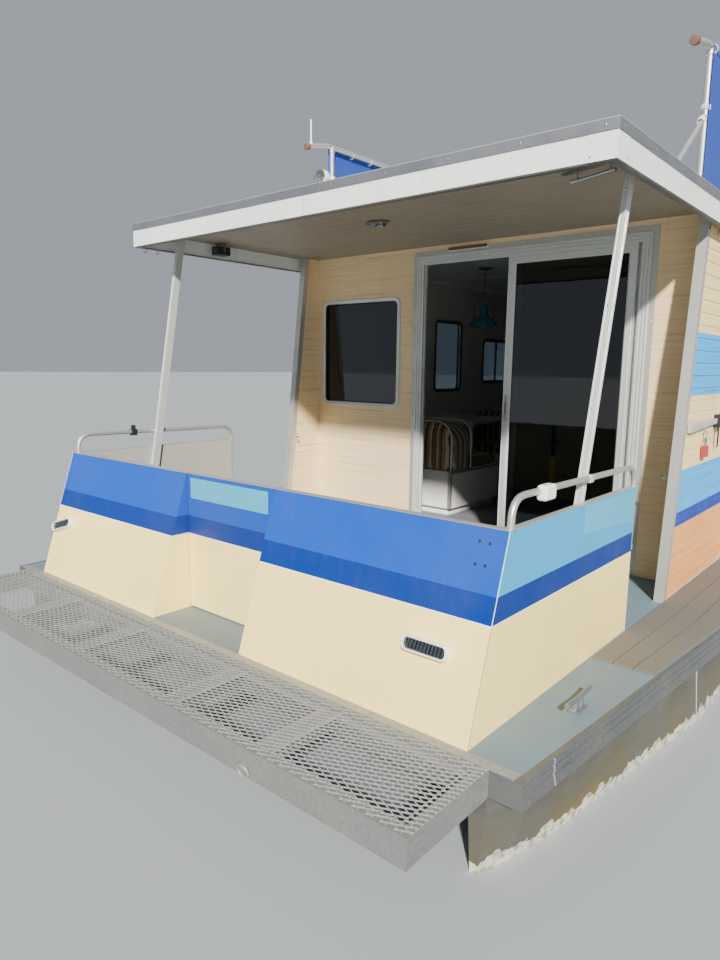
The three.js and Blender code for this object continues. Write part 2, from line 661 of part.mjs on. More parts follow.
// Hinged doors, each with its window cut and a lever handle
const LEAF = 36;
const LEVER = { low: 1330, high: 1356 };
const doorHandle = (x0, x1, y0, y1) => box(x0, x1, y0, y1, LEVER.low, LEVER.high);
add(
  "side_door",
  join(
    doorLeaf(
      "side_door",
      box(SIDE_DOOR.aft, SIDE_DOOR.fore, DOOR_LEAF - LEAF, DOOR_LEAF, SIDE_DOOR.bottom, SIDE_DOOR.top),
    ),
    ...sideHinges.map((h) => h.moving),
    doorHandle(SIDE_DOOR.fore - 170, SIDE_DOOR.fore - 40, DOOR_LEAF + 22, DOOR_LEAF + 36),
    doorHandle(SIDE_DOOR.fore - 62, SIDE_DOOR.fore - 40, DOOR_LEAF - 1, DOOR_LEAF + 36),
  ),
  SIDING,
);
add(
  "aft_door",
  join(
    doorLeaf(
      "aft_door",
      box(AFT_LEAF, AFT_LEAF + LEAF, AFT_DOOR.low, AFT_DOOR.high, AFT_DOOR.bottom, AFT_DOOR.top),
    ),
    ...aftHinges.map((h) => h.moving),
    doorHandle(AFT_LEAF - 36, AFT_LEAF - 22, AFT_DOOR.low + 40, AFT_DOOR.low + 170),
    doorHandle(AFT_LEAF - 36, AFT_LEAF + 1, AFT_DOOR.low + 40, AFT_DOOR.low + 62),
  ),
  SIDING,
);

// Sliding patio door: frame in the wall, fixed panel inside, sliding panel outside, shown open
const JAMB = 50;
const SILL = 30;
const STILE = 55;
const BASE_RAIL = 70;
const SLIDER = { low: 262, high: 1098 };
const FIXED = { low: 300, high: PATIO.high - JAMB - GAP };
const PANEL_BASE = DECK_TOP + SILL;
const PANEL_HEAD = PATIO.top - JAMB;
const FRAME_BACK = CABIN_FRONT - WALL - 12;
const FRAME_FRONT = CABIN_FRONT + 14;
const FIXED_BACK = 2540;
const SLIDER_BACK = 2568;
const PANEL_DEPTH = 22;
const PANE_HALF = 3;
const PANE_LAP = 5;
add(
  "patio_frame",
  cut(
    box(FRAME_BACK, FRAME_FRONT, PATIO.low + GAP, PATIO.high - GAP, DECK_TOP, PATIO.top - GAP),
    box(FRAME_BACK - 1, FRAME_FRONT + 1, PATIO.low + JAMB, PATIO.high - JAMB, PANEL_BASE, PANEL_HEAD),
  ),
  ALUMINIUM,
);
function doorPanel(x0, low, high, base, head) {
  const middle = x0 + PANEL_DEPTH / 2;
  const clear = (lap) =>
    [low + STILE - lap, high - STILE + lap, base + BASE_RAIL - lap, head - STILE + lap];
  return join(
    cut(
      box(x0, x0 + PANEL_DEPTH, low, high, base, head),
      box(x0 - 1, x0 + PANEL_DEPTH + 1, ...clear(0)),
    ),
    box(middle - PANE_HALF, middle + PANE_HALF, ...clear(PANE_LAP)),
  );
}
const PULL = { front: 2606, low: SLIDER.low + 12, high: SLIDER.low + 30, bottom: 1280, top: 1480 };
add(
  "patio_fixed_panel",
  doorPanel(FIXED_BACK, FIXED.low, FIXED.high, PANEL_BASE + GAP, PANEL_HEAD - GAP),
  ALUMINIUM,
);
add(
  "patio_sliding_panel",
  join(
    doorPanel(SLIDER_BACK, SLIDER.low, SLIDER.high, PANEL_BASE + GAP, PANEL_HEAD - 6),
    box(SLIDER_BACK + PANEL_DEPTH - 1, PULL.front, PULL.low, PULL.high, PULL.bottom, PULL.top),
  ),
  ALUMINIUM,
);

// Inside: galley, dinette and pendant lamp
const GALLEY = { aft: -1500, fore: 900, front: 900, top: 1260 };
const COUNTER = { overhang: 10, nose: 20, thick: 40 };
add(
  "galley_cabinet",
  join(
    box(GALLEY.aft, GALLEY.fore, GALLEY.front, innerHalf - 1, DECK_TOP, GALLEY.top),
    box(
      GALLEY.aft - COUNTER.overhang, GALLEY.fore + COUNTER.overhang,
      GALLEY.front - COUNTER.nose, innerHalf - 1,
      GALLEY.top, GALLEY.top + COUNTER.thick,
    ),
  ),
  LAMINATE,
);
const DINETTE_OUT = -1464;
const DINETTE_IN = -560;
const SEAT_TOP = 780;
const CUSHION = 90;
const CUSHION_INSET = 5;
// Two benches face each other. Columns: name, front and back of the base, front and back of the rest
const BENCHES = [
  ["dinette_seat", 1110, 1930, 1610, 1930],
  ["dinette_seat_aft", -260, 560, -260, 60],
];
const REST = { top: 1200, corner: 150 };
function backrest(x0, x1) {
  const shape = new THREE.Shape();
  shape.moveTo(DINETTE_OUT, SEAT_TOP - 1);
  shape.lineTo(DINETTE_IN, SEAT_TOP - 1);
  shape.absarc(DINETTE_IN - REST.corner, REST.top - REST.corner, REST.corner, 0, Math.PI / 2);
  shape.lineTo(DINETTE_OUT, REST.top);
  return extrude(shape, x1 - x0, 6).applyMatrix4(frame([0, 1, 0], [0, 0, 1], [1, 0, 0], [x0, 0, 0]));
}
for (const [name, x0, x1, rest0, rest1] of BENCHES) {
  const base = box(x0, x1, DINETTE_OUT, DINETTE_IN, DECK_TOP, SEAT_TOP);
  add(name, join(base, backrest(rest0, rest1)), LAMINATE);
}
const [, seatFront, , restFront] = BENCHES[0];
add(
  "dinette_cushion",
  box(
    seatFront, restFront - 1,
    DINETTE_OUT + CUSHION_INSET, DINETTE_IN - CUSHION_INSET,
    SEAT_TOP + GAP, SEAT_TOP + CUSHION,
  ),
  STRIPED_CLOTH,
);
const TABLE = { aft: 420, fore: 1270, edge: -760, bottom: 1120, top: 1150 };
const PEDESTAL = { at: [840, -1050], radius: 32, base: 150, baseTop: 412 };
add(
  "dinette_table",
  join(
    box(TABLE.aft, TABLE.fore, DINETTE_OUT, TABLE.edge, TABLE.bottom, TABLE.top),
    upright(...PEDESTAL.at, DECK_TOP + 4, TABLE.bottom + 2, PEDESTAL.radius, 12),
    upright(...PEDESTAL.at, DECK_TOP, PEDESTAL.baseTop, PEDESTAL.base, 16),
  ),
  LAMINATE,
);
const PENDANT = [1430, -600];
const STEM = { radius: 6, low: 2130 };
// Columns: radius, height; up the outside of the shade and back down the inside
const SHADE = [
  [0, 2140],
  [45, 2135],
  [70, 2090],
  [130, 2005],
  [130, 1998],
  [64, 2084],
  [38, 2122],
  [0, 2126],
];
const shade = new THREE.LatheGeometry(SHADE.map(([r, z]) => new THREE.Vector2(r, z)).reverse(), 16);
shade.rotateX(Math.PI / 2).translate(...PENDANT, 0);
const stem = upright(...PENDANT, STEM.low, CEILING - GAP, STEM.radius, 8);
add("pendant_lamp", join(shade, stem), TEAL_ENAMEL);

// Roof rails with canvas side panels
const ROOF_RAIL_Y = 1380;
const ROOF_RAIL_TOP = 3350;
const TUBE = 19;
const POSTS = { first: 2530, pitch: 1380, count: 6 };
const lastPost = POSTS.first - POSTS.pitch * (POSTS.count - 1);
const MID_RAIL = { z: 2620, radius: 12 };
const ARM = { x: 2790, droop: 50, rise: 60 };
const BRACE = { top: 3010, foot: 3110, radius: 14, plate: [40, 30, 8] };
const FOOT_PLATE = { half: 45, thick: 10 };
const LAMP = { z: 3110, radius: 55, stub: 12, back: 50, front: 150 };
const ROD = { x: 2766, low: 3300, high: 3500, radius: 6 };
const CANVAS_THICK = 6;
const CANVAS_EDGE = {
  fore: POSTS.first + 20,
  aft: lastPost - 20,
  low: MID_RAIL.z - 20,
  high: ROOF_RAIL_TOP + 10,
};
const inRail = (x, z) => [x, ROOF_RAIL_Y, z];
for (const [side, mirrored] of SIDES) {
  const topLine = [
    inRail(ARM.x, ROOF_RAIL_TOP - ARM.droop),
    inRail(POSTS.first + ARM.rise, ROOF_RAIL_TOP),
    inRail(lastPost - 30, ROOF_RAIL_TOP),
  ];
  const [plateX, plateY, plateThick] = BRACE.plate;
  const tubes = [
    pipe(topLine, TUBE),
    pipe([inRail(POSTS.first, MID_RAIL.z), inRail(lastPost, MID_RAIL.z)], MID_RAIL.radius),
    pipe([inRail(POSTS.first, BRACE.top), inRail(BRACE.foot, ROOF_TOP + 16)], BRACE.radius),
    box(
      BRACE.foot - plateX, BRACE.foot + plateX,
      ROOF_RAIL_Y - plateY, ROOF_RAIL_Y + plateY,
      ROOF_TOP, ROOF_TOP + plateThick,
    ),
  ];
  for (let i = 0; i < POSTS.count; i++) {
    const x = POSTS.first - i * POSTS.pitch;
    const { half, thick } = FOOT_PLATE;
    tubes.push(upright(x, ROOF_RAIL_Y, ROOF_TOP + 1, ROOF_RAIL_TOP, TUBE, 8));
    tubes.push(box(x - half, x + half, ROOF_RAIL_Y - half, ROOF_RAIL_Y + half, ROOF_TOP, ROOF_TOP + thick));
  }
  if (mirrored)
    tubes.push(
      upright(ROD.x, ROOF_RAIL_Y, ROD.low, ROD.high, ROD.radius, 8),
      pipe([inRail(POSTS.first, LAMP.z), inRail(POSTS.first + LAMP.back + 10, LAMP.z)], LAMP.stub),
      pipe(
        [inRail(POSTS.first + LAMP.back, LAMP.z), inRail(POSTS.first + LAMP.front, LAMP.z)],
        LAMP.radius, 0, 16,
      ),
    );
  add("roof_rail_" + side, join(...tubes), ALUMINIUM, mirrored);
  const { fore, aft, low, high } = CANVAS_EDGE;
  const canvas = [[fore, low], [fore, high], [aft, high], [aft, low]];
  const railOutside = ROOF_RAIL_Y + TUBE;
  add("canvas_" + side, prismY(canvas, railOutside + GAP, railOutside + CANVAS_THICK), CANVAS, mirrored);
}

// Stern: rails and the ladder to the roof
const STERN_RAIL_TOP = 1240;
const STERN_RAIL_LOW = 830;
const STERN_LOOP = { fore: -4030, aft: -4950, out: 1470, inner: 450, radius: 16, bend: 70 };
const LOW_LOOP = { radius: 11, bend: 40 };
const CORNER_POST = { inset: 20, radius: 14 };
for (const [side, mirrored] of SIDES) {
  const { fore, aft, out, inner } = STERN_LOOP;
  const round = (z) => [[fore, out, z], [aft, out, z], [aft, inner, z]];
  const loop = [[fore, out, DECK_TOP], ...round(STERN_RAIL_TOP), [aft, inner, DECK_TOP]];
  const { inset, radius } = CORNER_POST;
  add(
    "stern_rail_" + side,
    join(
      pipe(loop, STERN_LOOP.radius, STERN_LOOP.bend),
      pipe(round(STERN_RAIL_LOW), LOW_LOOP.radius, LOW_LOOP.bend),
      upright(aft + inset, out - inset, DECK_TOP, STERN_RAIL_TOP - 15, radius, 8),
    ),
    ALUMINIUM,
    mirrored,
  );
}
const LADDER = { low: -1250, high: -850, top: 2900, radius: 18, bend: 90 };
const RUNG = { count: 8, first: 250, pitch: 280, radius: 13 };
const LADDER_X = ROOF_AFT - DRIP.out - LADDER.radius - GAP;
const rungs = Array.from({ length: RUNG.count }, (_, i) => {
  const z = DECK_TOP + RUNG.first + i * RUNG.pitch;
  return pipe([[LADDER_X, LADDER.low, z], [LADDER_X, LADDER.high, z]], RUNG.radius);
});
const ladderLoop = [
  [LADDER_X, LADDER.low, DECK_TOP],
  [LADDER_X, LADDER.low, LADDER.top],
  [LADDER_X, LADDER.high, LADDER.top],
  [LADDER_X, LADDER.high, DECK_TOP],
];
add("roof_ladder", join(pipe(ladderLoop, LADDER.radius, LADDER.bend, 10), ...rungs), ALUMINIUM);

// Outboard motor on a set-back bracket
const MOUNT_X = -5340;
const BOARD = { thick: 40, half: 230, bottom: 20, top: 420 };
const ARMS = { near: 150, far: 200, bottom: 180, top: 390 };
const BACK_PLATE = { thick: 12, half: 260, bottom: 150, top: 398 };
const TILT = [-5430, 400];
const STEER_X = -5475;
const PROP_Z = -330;
add(
  "motor_bracket",
  join(
    box(MOUNT_X - BOARD.thick, MOUNT_X, -BOARD.half, BOARD.half, BOARD.bottom, BOARD.top),
    box(MOUNT_X - 1, STERN, -ARMS.far, -ARMS.near, ARMS.bottom, ARMS.top),
    box(MOUNT_X - 1, STERN, ARMS.near, ARMS.far, ARMS.bottom, ARMS.top),
    box(
      STERN - BACK_PLATE.thick, STERN,
      -BACK_PLATE.half, BACK_PLATE.half,
      BACK_PLATE.bottom, BACK_PLATE.top,
    ),
  ),
  ALUMINIUM,
);
const acrossPin = (x, z, y0, y1, radius, sides = 12) => pipe([[x, y0, z], [x, y1, z]], radius, 0, sides);
const boardBack = MOUNT_X - BOARD.thick - GAP;
// Columns: x, z
const CLAMP = [
  [boardBack, 100],
  [boardBack, 430],
  [TILT[0] - 22, 430],
  [TILT[0] - 22, 375],
  [MOUNT_X - 75, 100],
];
const CLAMP_NEAR = 75;
const CLAMP_FAR = 95;
const TILT_PIN = 12;
const STEERING_TUBE = 20;
const BORE_CLEAR = 0.6;
const SWIVEL = { half: 69, radius: 26, arm: [30, 20], low: 130, high: 440, tube: 34 };
const clampPlates = [prismY(CLAMP, -CLAMP_FAR, -CLAMP_NEAR), prismY(CLAMP, CLAMP_NEAR, CLAMP_FAR)];
const tiltPin = acrossPin(...TILT, -CLAMP_FAR, CLAMP_FAR, TILT_PIN);
add("motor_clamp", join(...clampPlates, tiltPin), MOTOR_PAINT);
const [armY, armZ] = SWIVEL.arm;
add(
  "motor_swivel",
  cut(
    join(
      acrossPin(...TILT, -SWIVEL.half, SWIVEL.half, SWIVEL.radius, 16),
      box(STEER_X, TILT[0], -armY, armY, TILT[1] - armZ, TILT[1] + armZ),
      upright(STEER_X, 0, SWIVEL.low, SWIVEL.high, SWIVEL.tube, 16),
    ),
    acrossPin(...TILT, -CLAMP_FAR, CLAMP_FAR, TILT_PIN + BORE_CLEAR),
    upright(STEER_X, 0, SWIVEL.low - 50, SWIVEL.high + 50, STEERING_TUBE + BORE_CLEAR, 16),
  ),
  MOTOR_PAINT,
);
const legX = STEER_X - 75;
// Columns: radius, distance forward
const GEARCASE = [
  [0, 210],
  [26, 195],
  [44, 140],
  [48, 0],
  [44, -120],
  [40, -150],
  [0, -150],
];
const gearcasePoints = GEARCASE.map(([r, x]) => new THREE.Vector2(r, x)).reverse();
const gearcase = new THREE.LatheGeometry(gearcasePoints, 14);
gearcase.rotateZ(-Math.PI / 2).translate(legX - 40, 0, PROP_Z);
const cowlSection = (x, low, high, half) => {
  const portSide = [[x, half, low], [x, half, high - 90], [x, half * 0.7, high]];
  return [...portSide, ...portSide.map(([a, b, c]) => [a, -b, c]).reverse()];
};
// Columns: distance aft of the steering axis, underside, top, half width
const COWL = [
  [-120, 660, 850, 110],
  [-70, 590, 960, 150],
  [60, 560, 1040, 165],
  [220, 560, 1020, 165],
  [300, 600, 930, 130],
];
// The leg's outlines in (x, z), above and below the deck's height, and its fin
const LEG_LOW = 60;
const LEG_TOP = 580;
const UPPER_LEG = [[legX + 35, LEG_LOW], [legX + 35, LEG_TOP], [legX - 55, LEG_TOP], [legX - 80, LEG_LOW]];
const LOWER_LEG = [[legX + 40, 70], [legX + 60, PROP_Z], [legX - 60, PROP_Z], [legX - 80, 70]];
const FIN_BOTTOM = PROP_Z - 150;
const FIN = [[legX + 60, PROP_Z], [legX - 20, FIN_BOTTOM], [legX - 60, FIN_BOTTOM], [legX - 60, PROP_Z]];
const SPLASH_PLATE = { aft: 190, fore: 40, half: 95, bottom: -150, top: -138 };
const SHAFT = { radius: 9, fore: legX - 60, aft: legX - 262 };
add(
  "motor",
  join(
    loft(COWL.map(([aft, low, high, half]) => cowlSection(STEER_X - aft, low, high, half))),
    upright(STEER_X, 0, LEG_LOW, LEG_TOP, STEERING_TUBE, 16),
    box(STEER_X - 60, STEER_X + 30, -40, 40, 470, 570),
    box(legX - 55, STEER_X + 30, -40, 40, LEG_LOW, 120),
    prismY(UPPER_LEG, -45, 45),
    prismY(LOWER_LEG, -22, 22),
    box(
      legX - SPLASH_PLATE.aft, legX + SPLASH_PLATE.fore,
      -SPLASH_PLATE.half, SPLASH_PLATE.half,
      SPLASH_PLATE.bottom, SPLASH_PLATE.top,
    ),
    prismY(FIN, -6, 6),
    gearcase,
    pipe([[SHAFT.fore, 0, PROP_Z], [SHAFT.aft, 0, PROP_Z]], SHAFT.radius, 0, 10),
  ),
  MOTOR_PAINT,
);
const PROP_X = legX - 225;
const BLADE_THICK = 6;
const BLADE_PITCH = 0.45;
const HUB = { half: 30, radius: 38 };
const blade = (angle) => {
  const shape = new THREE.Shape();
  shape.moveTo(-22, 30);
  shape.quadraticCurveTo(-80, 95, -35, 140);
  shape.quadraticCurveTo(30, 150, 48, 95);
  shape.quadraticCurveTo(42, 55, 22, 30);
  return extrude(shape, BLADE_THICK, 5)
    .translate(0, 0, -BLADE_THICK / 2)
    .applyMatrix4(new THREE.Matrix4().makeRotationY(BLADE_PITCH))
    .applyMatrix4(frame([0, 1, 0], [0, 0, 1], [1, 0, 0]))
    .applyMatrix4(new THREE.Matrix4().makeRotationX(angle))
    .translate(PROP_X, 0, PROP_Z);
};
const onShaft = (half, radius, sides) =>
  pipe([[PROP_X - half, 0, PROP_Z], [PROP_X + half, 0, PROP_Z]], radius, 0, sides);
const hub = onShaft(HUB.half, HUB.radius, 16);
const shaftBore = onShaft(2 * HUB.half, SHAFT.radius + BORE_CLEAR, 10);
const blades = [0, 1, 2].map((i) => blade((i * 2 * Math.PI) / 3));
add("propeller", cut(join(hub, ...blades), shaftBore), ALUMINIUM);

export default boat;
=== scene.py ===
# %% [markdown]
# # A cabin houseboat, dressed in Blender
# The construction comes as a fixed frame: hulls, deck, walls, doors and rails at their real size, in metres, with +X
# to the bow, +Y to port and the waterline at z = 0. Nothing of it is moved here. Each step gives one part of the boat
# its finish, or lays a finer piece over a plain solid.

# %% Load the frame
import math

import bmesh
import bpy
from mathutils import Matrix, Vector
from mathutils.bvhtree import BVHTree


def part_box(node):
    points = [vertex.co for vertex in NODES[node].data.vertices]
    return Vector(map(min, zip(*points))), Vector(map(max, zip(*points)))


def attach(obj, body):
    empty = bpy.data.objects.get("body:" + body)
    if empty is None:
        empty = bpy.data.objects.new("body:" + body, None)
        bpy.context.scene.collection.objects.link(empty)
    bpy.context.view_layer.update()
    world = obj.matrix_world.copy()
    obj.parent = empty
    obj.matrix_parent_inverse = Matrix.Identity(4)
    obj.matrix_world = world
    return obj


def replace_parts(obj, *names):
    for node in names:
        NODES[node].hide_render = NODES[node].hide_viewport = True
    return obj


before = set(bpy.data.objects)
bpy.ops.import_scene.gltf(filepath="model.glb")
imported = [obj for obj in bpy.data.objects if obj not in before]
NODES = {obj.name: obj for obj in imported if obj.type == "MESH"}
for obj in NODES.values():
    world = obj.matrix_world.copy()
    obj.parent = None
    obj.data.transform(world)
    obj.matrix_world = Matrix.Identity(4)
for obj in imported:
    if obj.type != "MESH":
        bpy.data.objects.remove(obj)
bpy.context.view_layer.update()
SIDES = [("port", 1), ("starboard", -1)]

# %% [markdown]
# ## Camera
# The photograph was taken from a dock off the port bow, a little above the deck. Three directions and a place
# describe that camera, so it is set as a matrix. The lens is worked out from the picture's focal length in
# pixels: the sensor's 36 mm lie along the picture's long side.

# %% Camera off the port bow
PICTURE_HEIGHT = 960
FOCAL_PIXELS = 689.85
SENSOR = 36
EYE = (6.788, 2.579, 1.65)
LOOK = (-0.75095, -0.63992, -0.16303)
RIGHT = (-0.64999, 0.75985, 0.01144)
UP = (-0.11655, -0.11456, 0.98655)


def placed(name, data):
    """A new object in the scene that holds a mesh, a light or a camera."""
    made = bpy.data.objects.new(name, data)
    bpy.context.scene.collection.objects.link(made)
    return made


camera_data = bpy.data.cameras.new("dock_camera")
camera_data.sensor_width = SENSOR
camera_data.lens = SENSOR * FOCAL_PIXELS / PICTURE_HEIGHT
camera_data.clip_end = 400
camera = placed("dock_camera", camera_data)
directions = Matrix((RIGHT, UP, -Vector(LOOK))).transposed()
camera.matrix_world = Matrix.Translation(EYE) @ directions.to_4x4()
bpy.context.scene.camera = camera
print("lens:", round(camera_data.lens, 2), "mm")

# %% [markdown]
# ## Helpers for finishes
# A finish is a small network of nodes. These helpers keep each one short: `node` adds a node and joins its inputs,
# and the others are the handful of patterns that paint and metal need. All patterns read Object coordinates, which
# are metres on the boat, so a scratch or a stain has a true size wherever the material is used.

# %% Helpers for finishes
def colour(code):
    """A colour written as six hex digits, as the linear values that a shader needs."""
    parts = [int(code[i : i + 2], 16) / 255 for i in (0, 2, 4)]
    return tuple(c / 12.92 if c < 0.04045 else ((c + 0.055) / 1.055) ** 2.4 for c in parts) + (1,)


def feed(tree, sockets, values):
    """Joins or sets each socket. A list joins several outputs to one socket, and an empty one leaves it alone."""
    for key, value in values.items():
        for given in value if isinstance(value, list) else [value]:
            if isinstance(given, bpy.types.NodeSocket):
                tree.links.new(given, sockets[key])
            else:
                sockets[key].default_value = given


def node(tree, kind, inputs=None, out=0, **settings):
    """A node with its inputs fed, as one of its outputs. A short kind means a shader node."""
    made = tree.nodes.new(kind if "Node" in kind else "ShaderNode" + kind)
    for key, value in settings.items():
        setattr(made, key, value)
    feed(tree, made.inputs, inputs or {})
    return made.outputs[out]


def place(tree, scale=(1, 1, 1)):
    return node(tree, "Mapping", {"Vector": node(tree, "TexCoord", out="Object"), "Scale": scale})


def noise(tree, scale, stretch=(1, 1, 1), detail=4, rough=0.55):
    inputs = {"Vector": place(tree, stretch), "Scale": scale, "Detail": detail, "Roughness": rough}
    return node(tree, "TexNoise", inputs)


def spread(tree, value, low, high, to_low=0.0, to_high=1.0):
    """Stretches a pattern's values from low..high to a new range, and clips what lies outside."""
    limits = {"From Min": low, "From Max": high, "To Min": to_low, "To Max": to_high}
    return node(tree, "MapRange", {"Value": value, **limits})


def mix(tree, share, a, b, blend="MIX"):
    """Two colours mixed. The node's colour sockets are its inputs 6 and 7 and its output 2."""
    return node(tree, "Mix", {0: share, 6: a, 7: b}, 2, data_type="RGBA", blend_type=blend)


def calculate(tree, operation, a, b=0.0):
    return node(tree, "Math", {0: a, 1: b}, operation=operation)


def along_axis(tree, axis="Z"):
    return node(tree, "SeparateXYZ", {0: node(tree, "TexCoord", out="Object")}, axis)


def bump(tree, height, distance, strength=1.0, under=None):
    inputs = {"Height": height, "Distance": distance, "Strength": strength}
    return node(tree, "Bump", {**inputs, "Normal": [] if under is None else under})


def shader(name):
    material = bpy.data.materials.new(name)
    material.use_nodes = True
    return material, material.node_tree, material.node_tree.nodes["Principled BSDF"].inputs


print("helpers ready: colour, feed, node, place, noise, spread, mix, calculate, along_axis, bump, shader")

# %% [markdown]
# ## Painted finishes
# The boat's paint is decades old: sound, a little chalky, with grime that gathers in soft clouds and runs down from
# edges. `paint` lays those over any base colour. The coloured bands follow the height above the water, so `bands`
# reads z and steps from one colour to the next, which keeps a stripe level on the sloped bow panels too.

# %% Painted finishes
GRIME = colour("6f675a")
finishes, SLOT_OF = {}, {}


def stepped(tree, share, stops):
    """A ramp that steps from colour to colour: pairs of share and colour, the first at 0."""
    made = tree.nodes.new("ShaderNodeValToRGB")
    made.color_ramp.interpolation = "CONSTANT"
    tree.links.new(share, made.inputs[0])
    elements = made.color_ramp.elements
    elements.remove(elements[1])
    for i, (start, code) in enumerate(stops):
        element = elements.new(start) if i else elements[0]
        element.color = colour(code)
    return made.outputs[0]


def bands(tree, stops):
    """Colours that step at heights above the water: pairs of height and colour, lowest first."""
    low, high = stops[0][0], stops[-1][0] + 0.5
    shares = [((height - low) / (high - low), code) for height, code in stops]
    return stepped(tree, spread(tree, along_axis(tree), low, high), shares)


def paint(name, base, roughness, grime, runs, peel=0.0003, stops=None, coat=0.0, grain=0.0):
    material, tree, sockets = shader(name)
    base_colour = bands(tree, stops) if stops else colour(base)
    if grain:
        streaks = spread(tree, noise(tree, 1.0, (1.6, 1.6, 62), detail=6), 0.5, 0.76, 0, grain)
        base_colour = mix(tree, streaks, base_colour, colour("d2a67e"), "MULTIPLY")
    cloud = spread(tree, noise(tree, 1.7, detail=6), 0.42, 0.75, 0, grime)
    run = spread(tree, noise(tree, 1.0, (22, 22, 1.1), detail=5), 0.52, 0.8, 0, runs)
    fleck = spread(tree, noise(tree, 90, detail=3), 0.66, 0.72, 0, grime * 0.8)
    for dirt in (cloud, run, fleck):
        base_colour = mix(tree, dirt, base_colour, GRIME)
    tone = spread(tree, noise(tree, 0.6, detail=2), 0.3, 0.7, 0.93, 1.05)
    toned = mix(tree, 1.0, base_colour, node(tree, "CombineColor", {0: tone, 1: tone, 2: tone}), "MULTIPLY")
    rough = spread(tree, noise(tree, 5, detail=6), 0.3, 0.7, roughness - 0.08, roughness + 0.14)
    skin = bump(tree, noise(tree, 140, detail=3), peel)
    waves = bump(tree, noise(tree, 2.3, detail=2), 0.004, 0.6, skin)
    feed(tree, sockets, {"Base Color": toned, "Roughness": rough, "Normal": waves, "Coat Weight": coat})
    sockets["Specular IOR Level"].default_value = 0.3 if stops else 0.5
    return material


print("helpers ready: stepped, bands, paint")

# %% Table of paints
CREAM, CABIN_CREAM, CABIN_BLUE, WHITE_LINE = "fde490", "f3dc9c", "2caaf4", "f4f2ea"
BOW_BANDS = [(0.39, CREAM), (0.7895, WHITE_LINE), (0.793, "022f7e"), (0.887, "0b48a8")]
QUARTER_BANDS = [(0.39, CREAM), (0.7895, WHITE_LINE), (0.793, "002f80"), (0.887, "2f9ccf")]
CABIN_BANDS = [(0.39, "ecd69c"), (0.412, "eea55e"), (0.80, "0238a4"), (0.875, CABIN_BLUE), (1.108, CABIN_CREAM),
               (1.507, CABIN_BLUE), (1.843, CABIN_CREAM)]
# Columns: finish, slot name, colour, roughness, grime, runs, and what only some have
PAINTS = [
    ("bow_paint", "cream_paint", CREAM, 0.45, 0.1, 0.06, {"stops": BOW_BANDS}),
    ("quarter_paint", "cream_paint", CREAM, 0.45, 0.1, 0.06, {"stops": QUARTER_BANDS}),
    ("cabin_paint", "siding", CREAM, 0.42, 0.12, 0.16, {"stops": CABIN_BANDS, "grain": 0.5}),
    ("front_siding", "siding", "ecd2a4", 0.5, 0.12, 0.12, {"grain": 0.5}),
    ("lining_paint", "cream_paint", "a6a79c", 0.6, 0.25, 0.12, {}),
    ("wall_board", "siding", "d2cfc8", 0.6, 0.16, 0.12, {}),
    ("soffit_board", "siding", "9e9280", 0.6, 0.2, 0.12, {}),
    ("roof_white", "white_paint", "e9edeb", 0.42, 0.1, 0.14, {}),
    ("trim_white", "white_paint", "f2f1ea", 0.4, 0.12, 0.12, {}),
    ("deck_paint", "deck_paint", "667a84", 0.6, 0.3, 0.12, {"peel": 0.0006}),
    ("walk_board", "non_skid", "676359", 0.85, 0.3, 0.12, {"peel": 0.0012}),
    ("laminate", "laminate", "e6e3da", 0.35, 0.05, 0, {}),
    ("teal_enamel", "teal_enamel", "1d6a74", 0.25, 0.08, 0, {"coat": 0.5}),
    ("motor_paint", "motor_paint", "26282c", 0.3, 0.1, 0.12, {"coat": 0.4}),
    ("lamp_plastic", "lamp_white", "ecebe4", 0.35, 0.08, 0.04, {}),
    ("sign_blank", "cream_paint", "3fa0c0", 0.5, 0.12, 0.12, {}),
    ("sign_pale", "cream_paint", "4aa6cc", 0.5, 0.14, 0.12, {}),
    ("red_enamel", "teal_enamel", "a8222e", 0.3, 0.15, 0.12, {"coat": 0.3}),
    ("lamp_plastic_grey", "lamp_white", "b4b2aa", 0.45, 0.25, 0.12, {}),
    ("rust_plastic", None, "6e4c3e", 0.7, 0.3, 0.12, {}),
    ("bronze_plastic", "lamp_white", "5d4c3a", 0.3, 0.15, 0.12, {"coat": 0.4}),
    ("black_plastic", "motor_paint", "1a1b1d", 0.5, 0.1, 0, {}),
]
for name, slot, *values, more in PAINTS:
    finishes[name], SLOT_OF[name] = paint(name, *values, **more), slot
print("painted finishes:", len(finishes))

# %% [markdown]
# ## Metals
# Bare aluminium on a boat goes grey and picks up fine drawn lines along its length, while hot-dip galvanised steel
# dries to a mottled, dull skin with rust at the worn places. `metal` covers both: stretched noise gives the drawn
# lines and a cell pattern gives the zinc its flakes.

# %% Metals
def metal(name, base, roughness, metallic, stains, stain="6b6255", grain=(1, 60, 60), grain_depth=0.0002, flakes=0):
    material, tree, sockets = shader(name)
    grains = noise(tree, 9, grain, detail=5, rough=0.7)
    patches = noise(tree, 3.2, detail=7, rough=0.62)
    stained = mix(tree, spread(tree, patches, 0.46, 0.72, 0, stains), colour(base), colour(stain))
    lined = mix(tree, spread(tree, grains, 0.3, 0.75, 0, 0.35), stained, colour("d4d6d4"))
    if flakes:
        cells = node(tree, "TexVoronoi", {"Vector": place(tree), "Scale": 70.0})
        lined = mix(tree, spread(tree, cells, 0.05, 0.6, 0, flakes), lined, colour("c9cbc8"))
    rough = spread(tree, patches, 0.3, 0.75, roughness - 0.07, roughness + 0.2)
    lines = bump(tree, grains, grain_depth)
    feed(tree, sockets, {"Base Color": lined, "Roughness": rough, "Metallic": metallic, "Normal": lines})
    return material
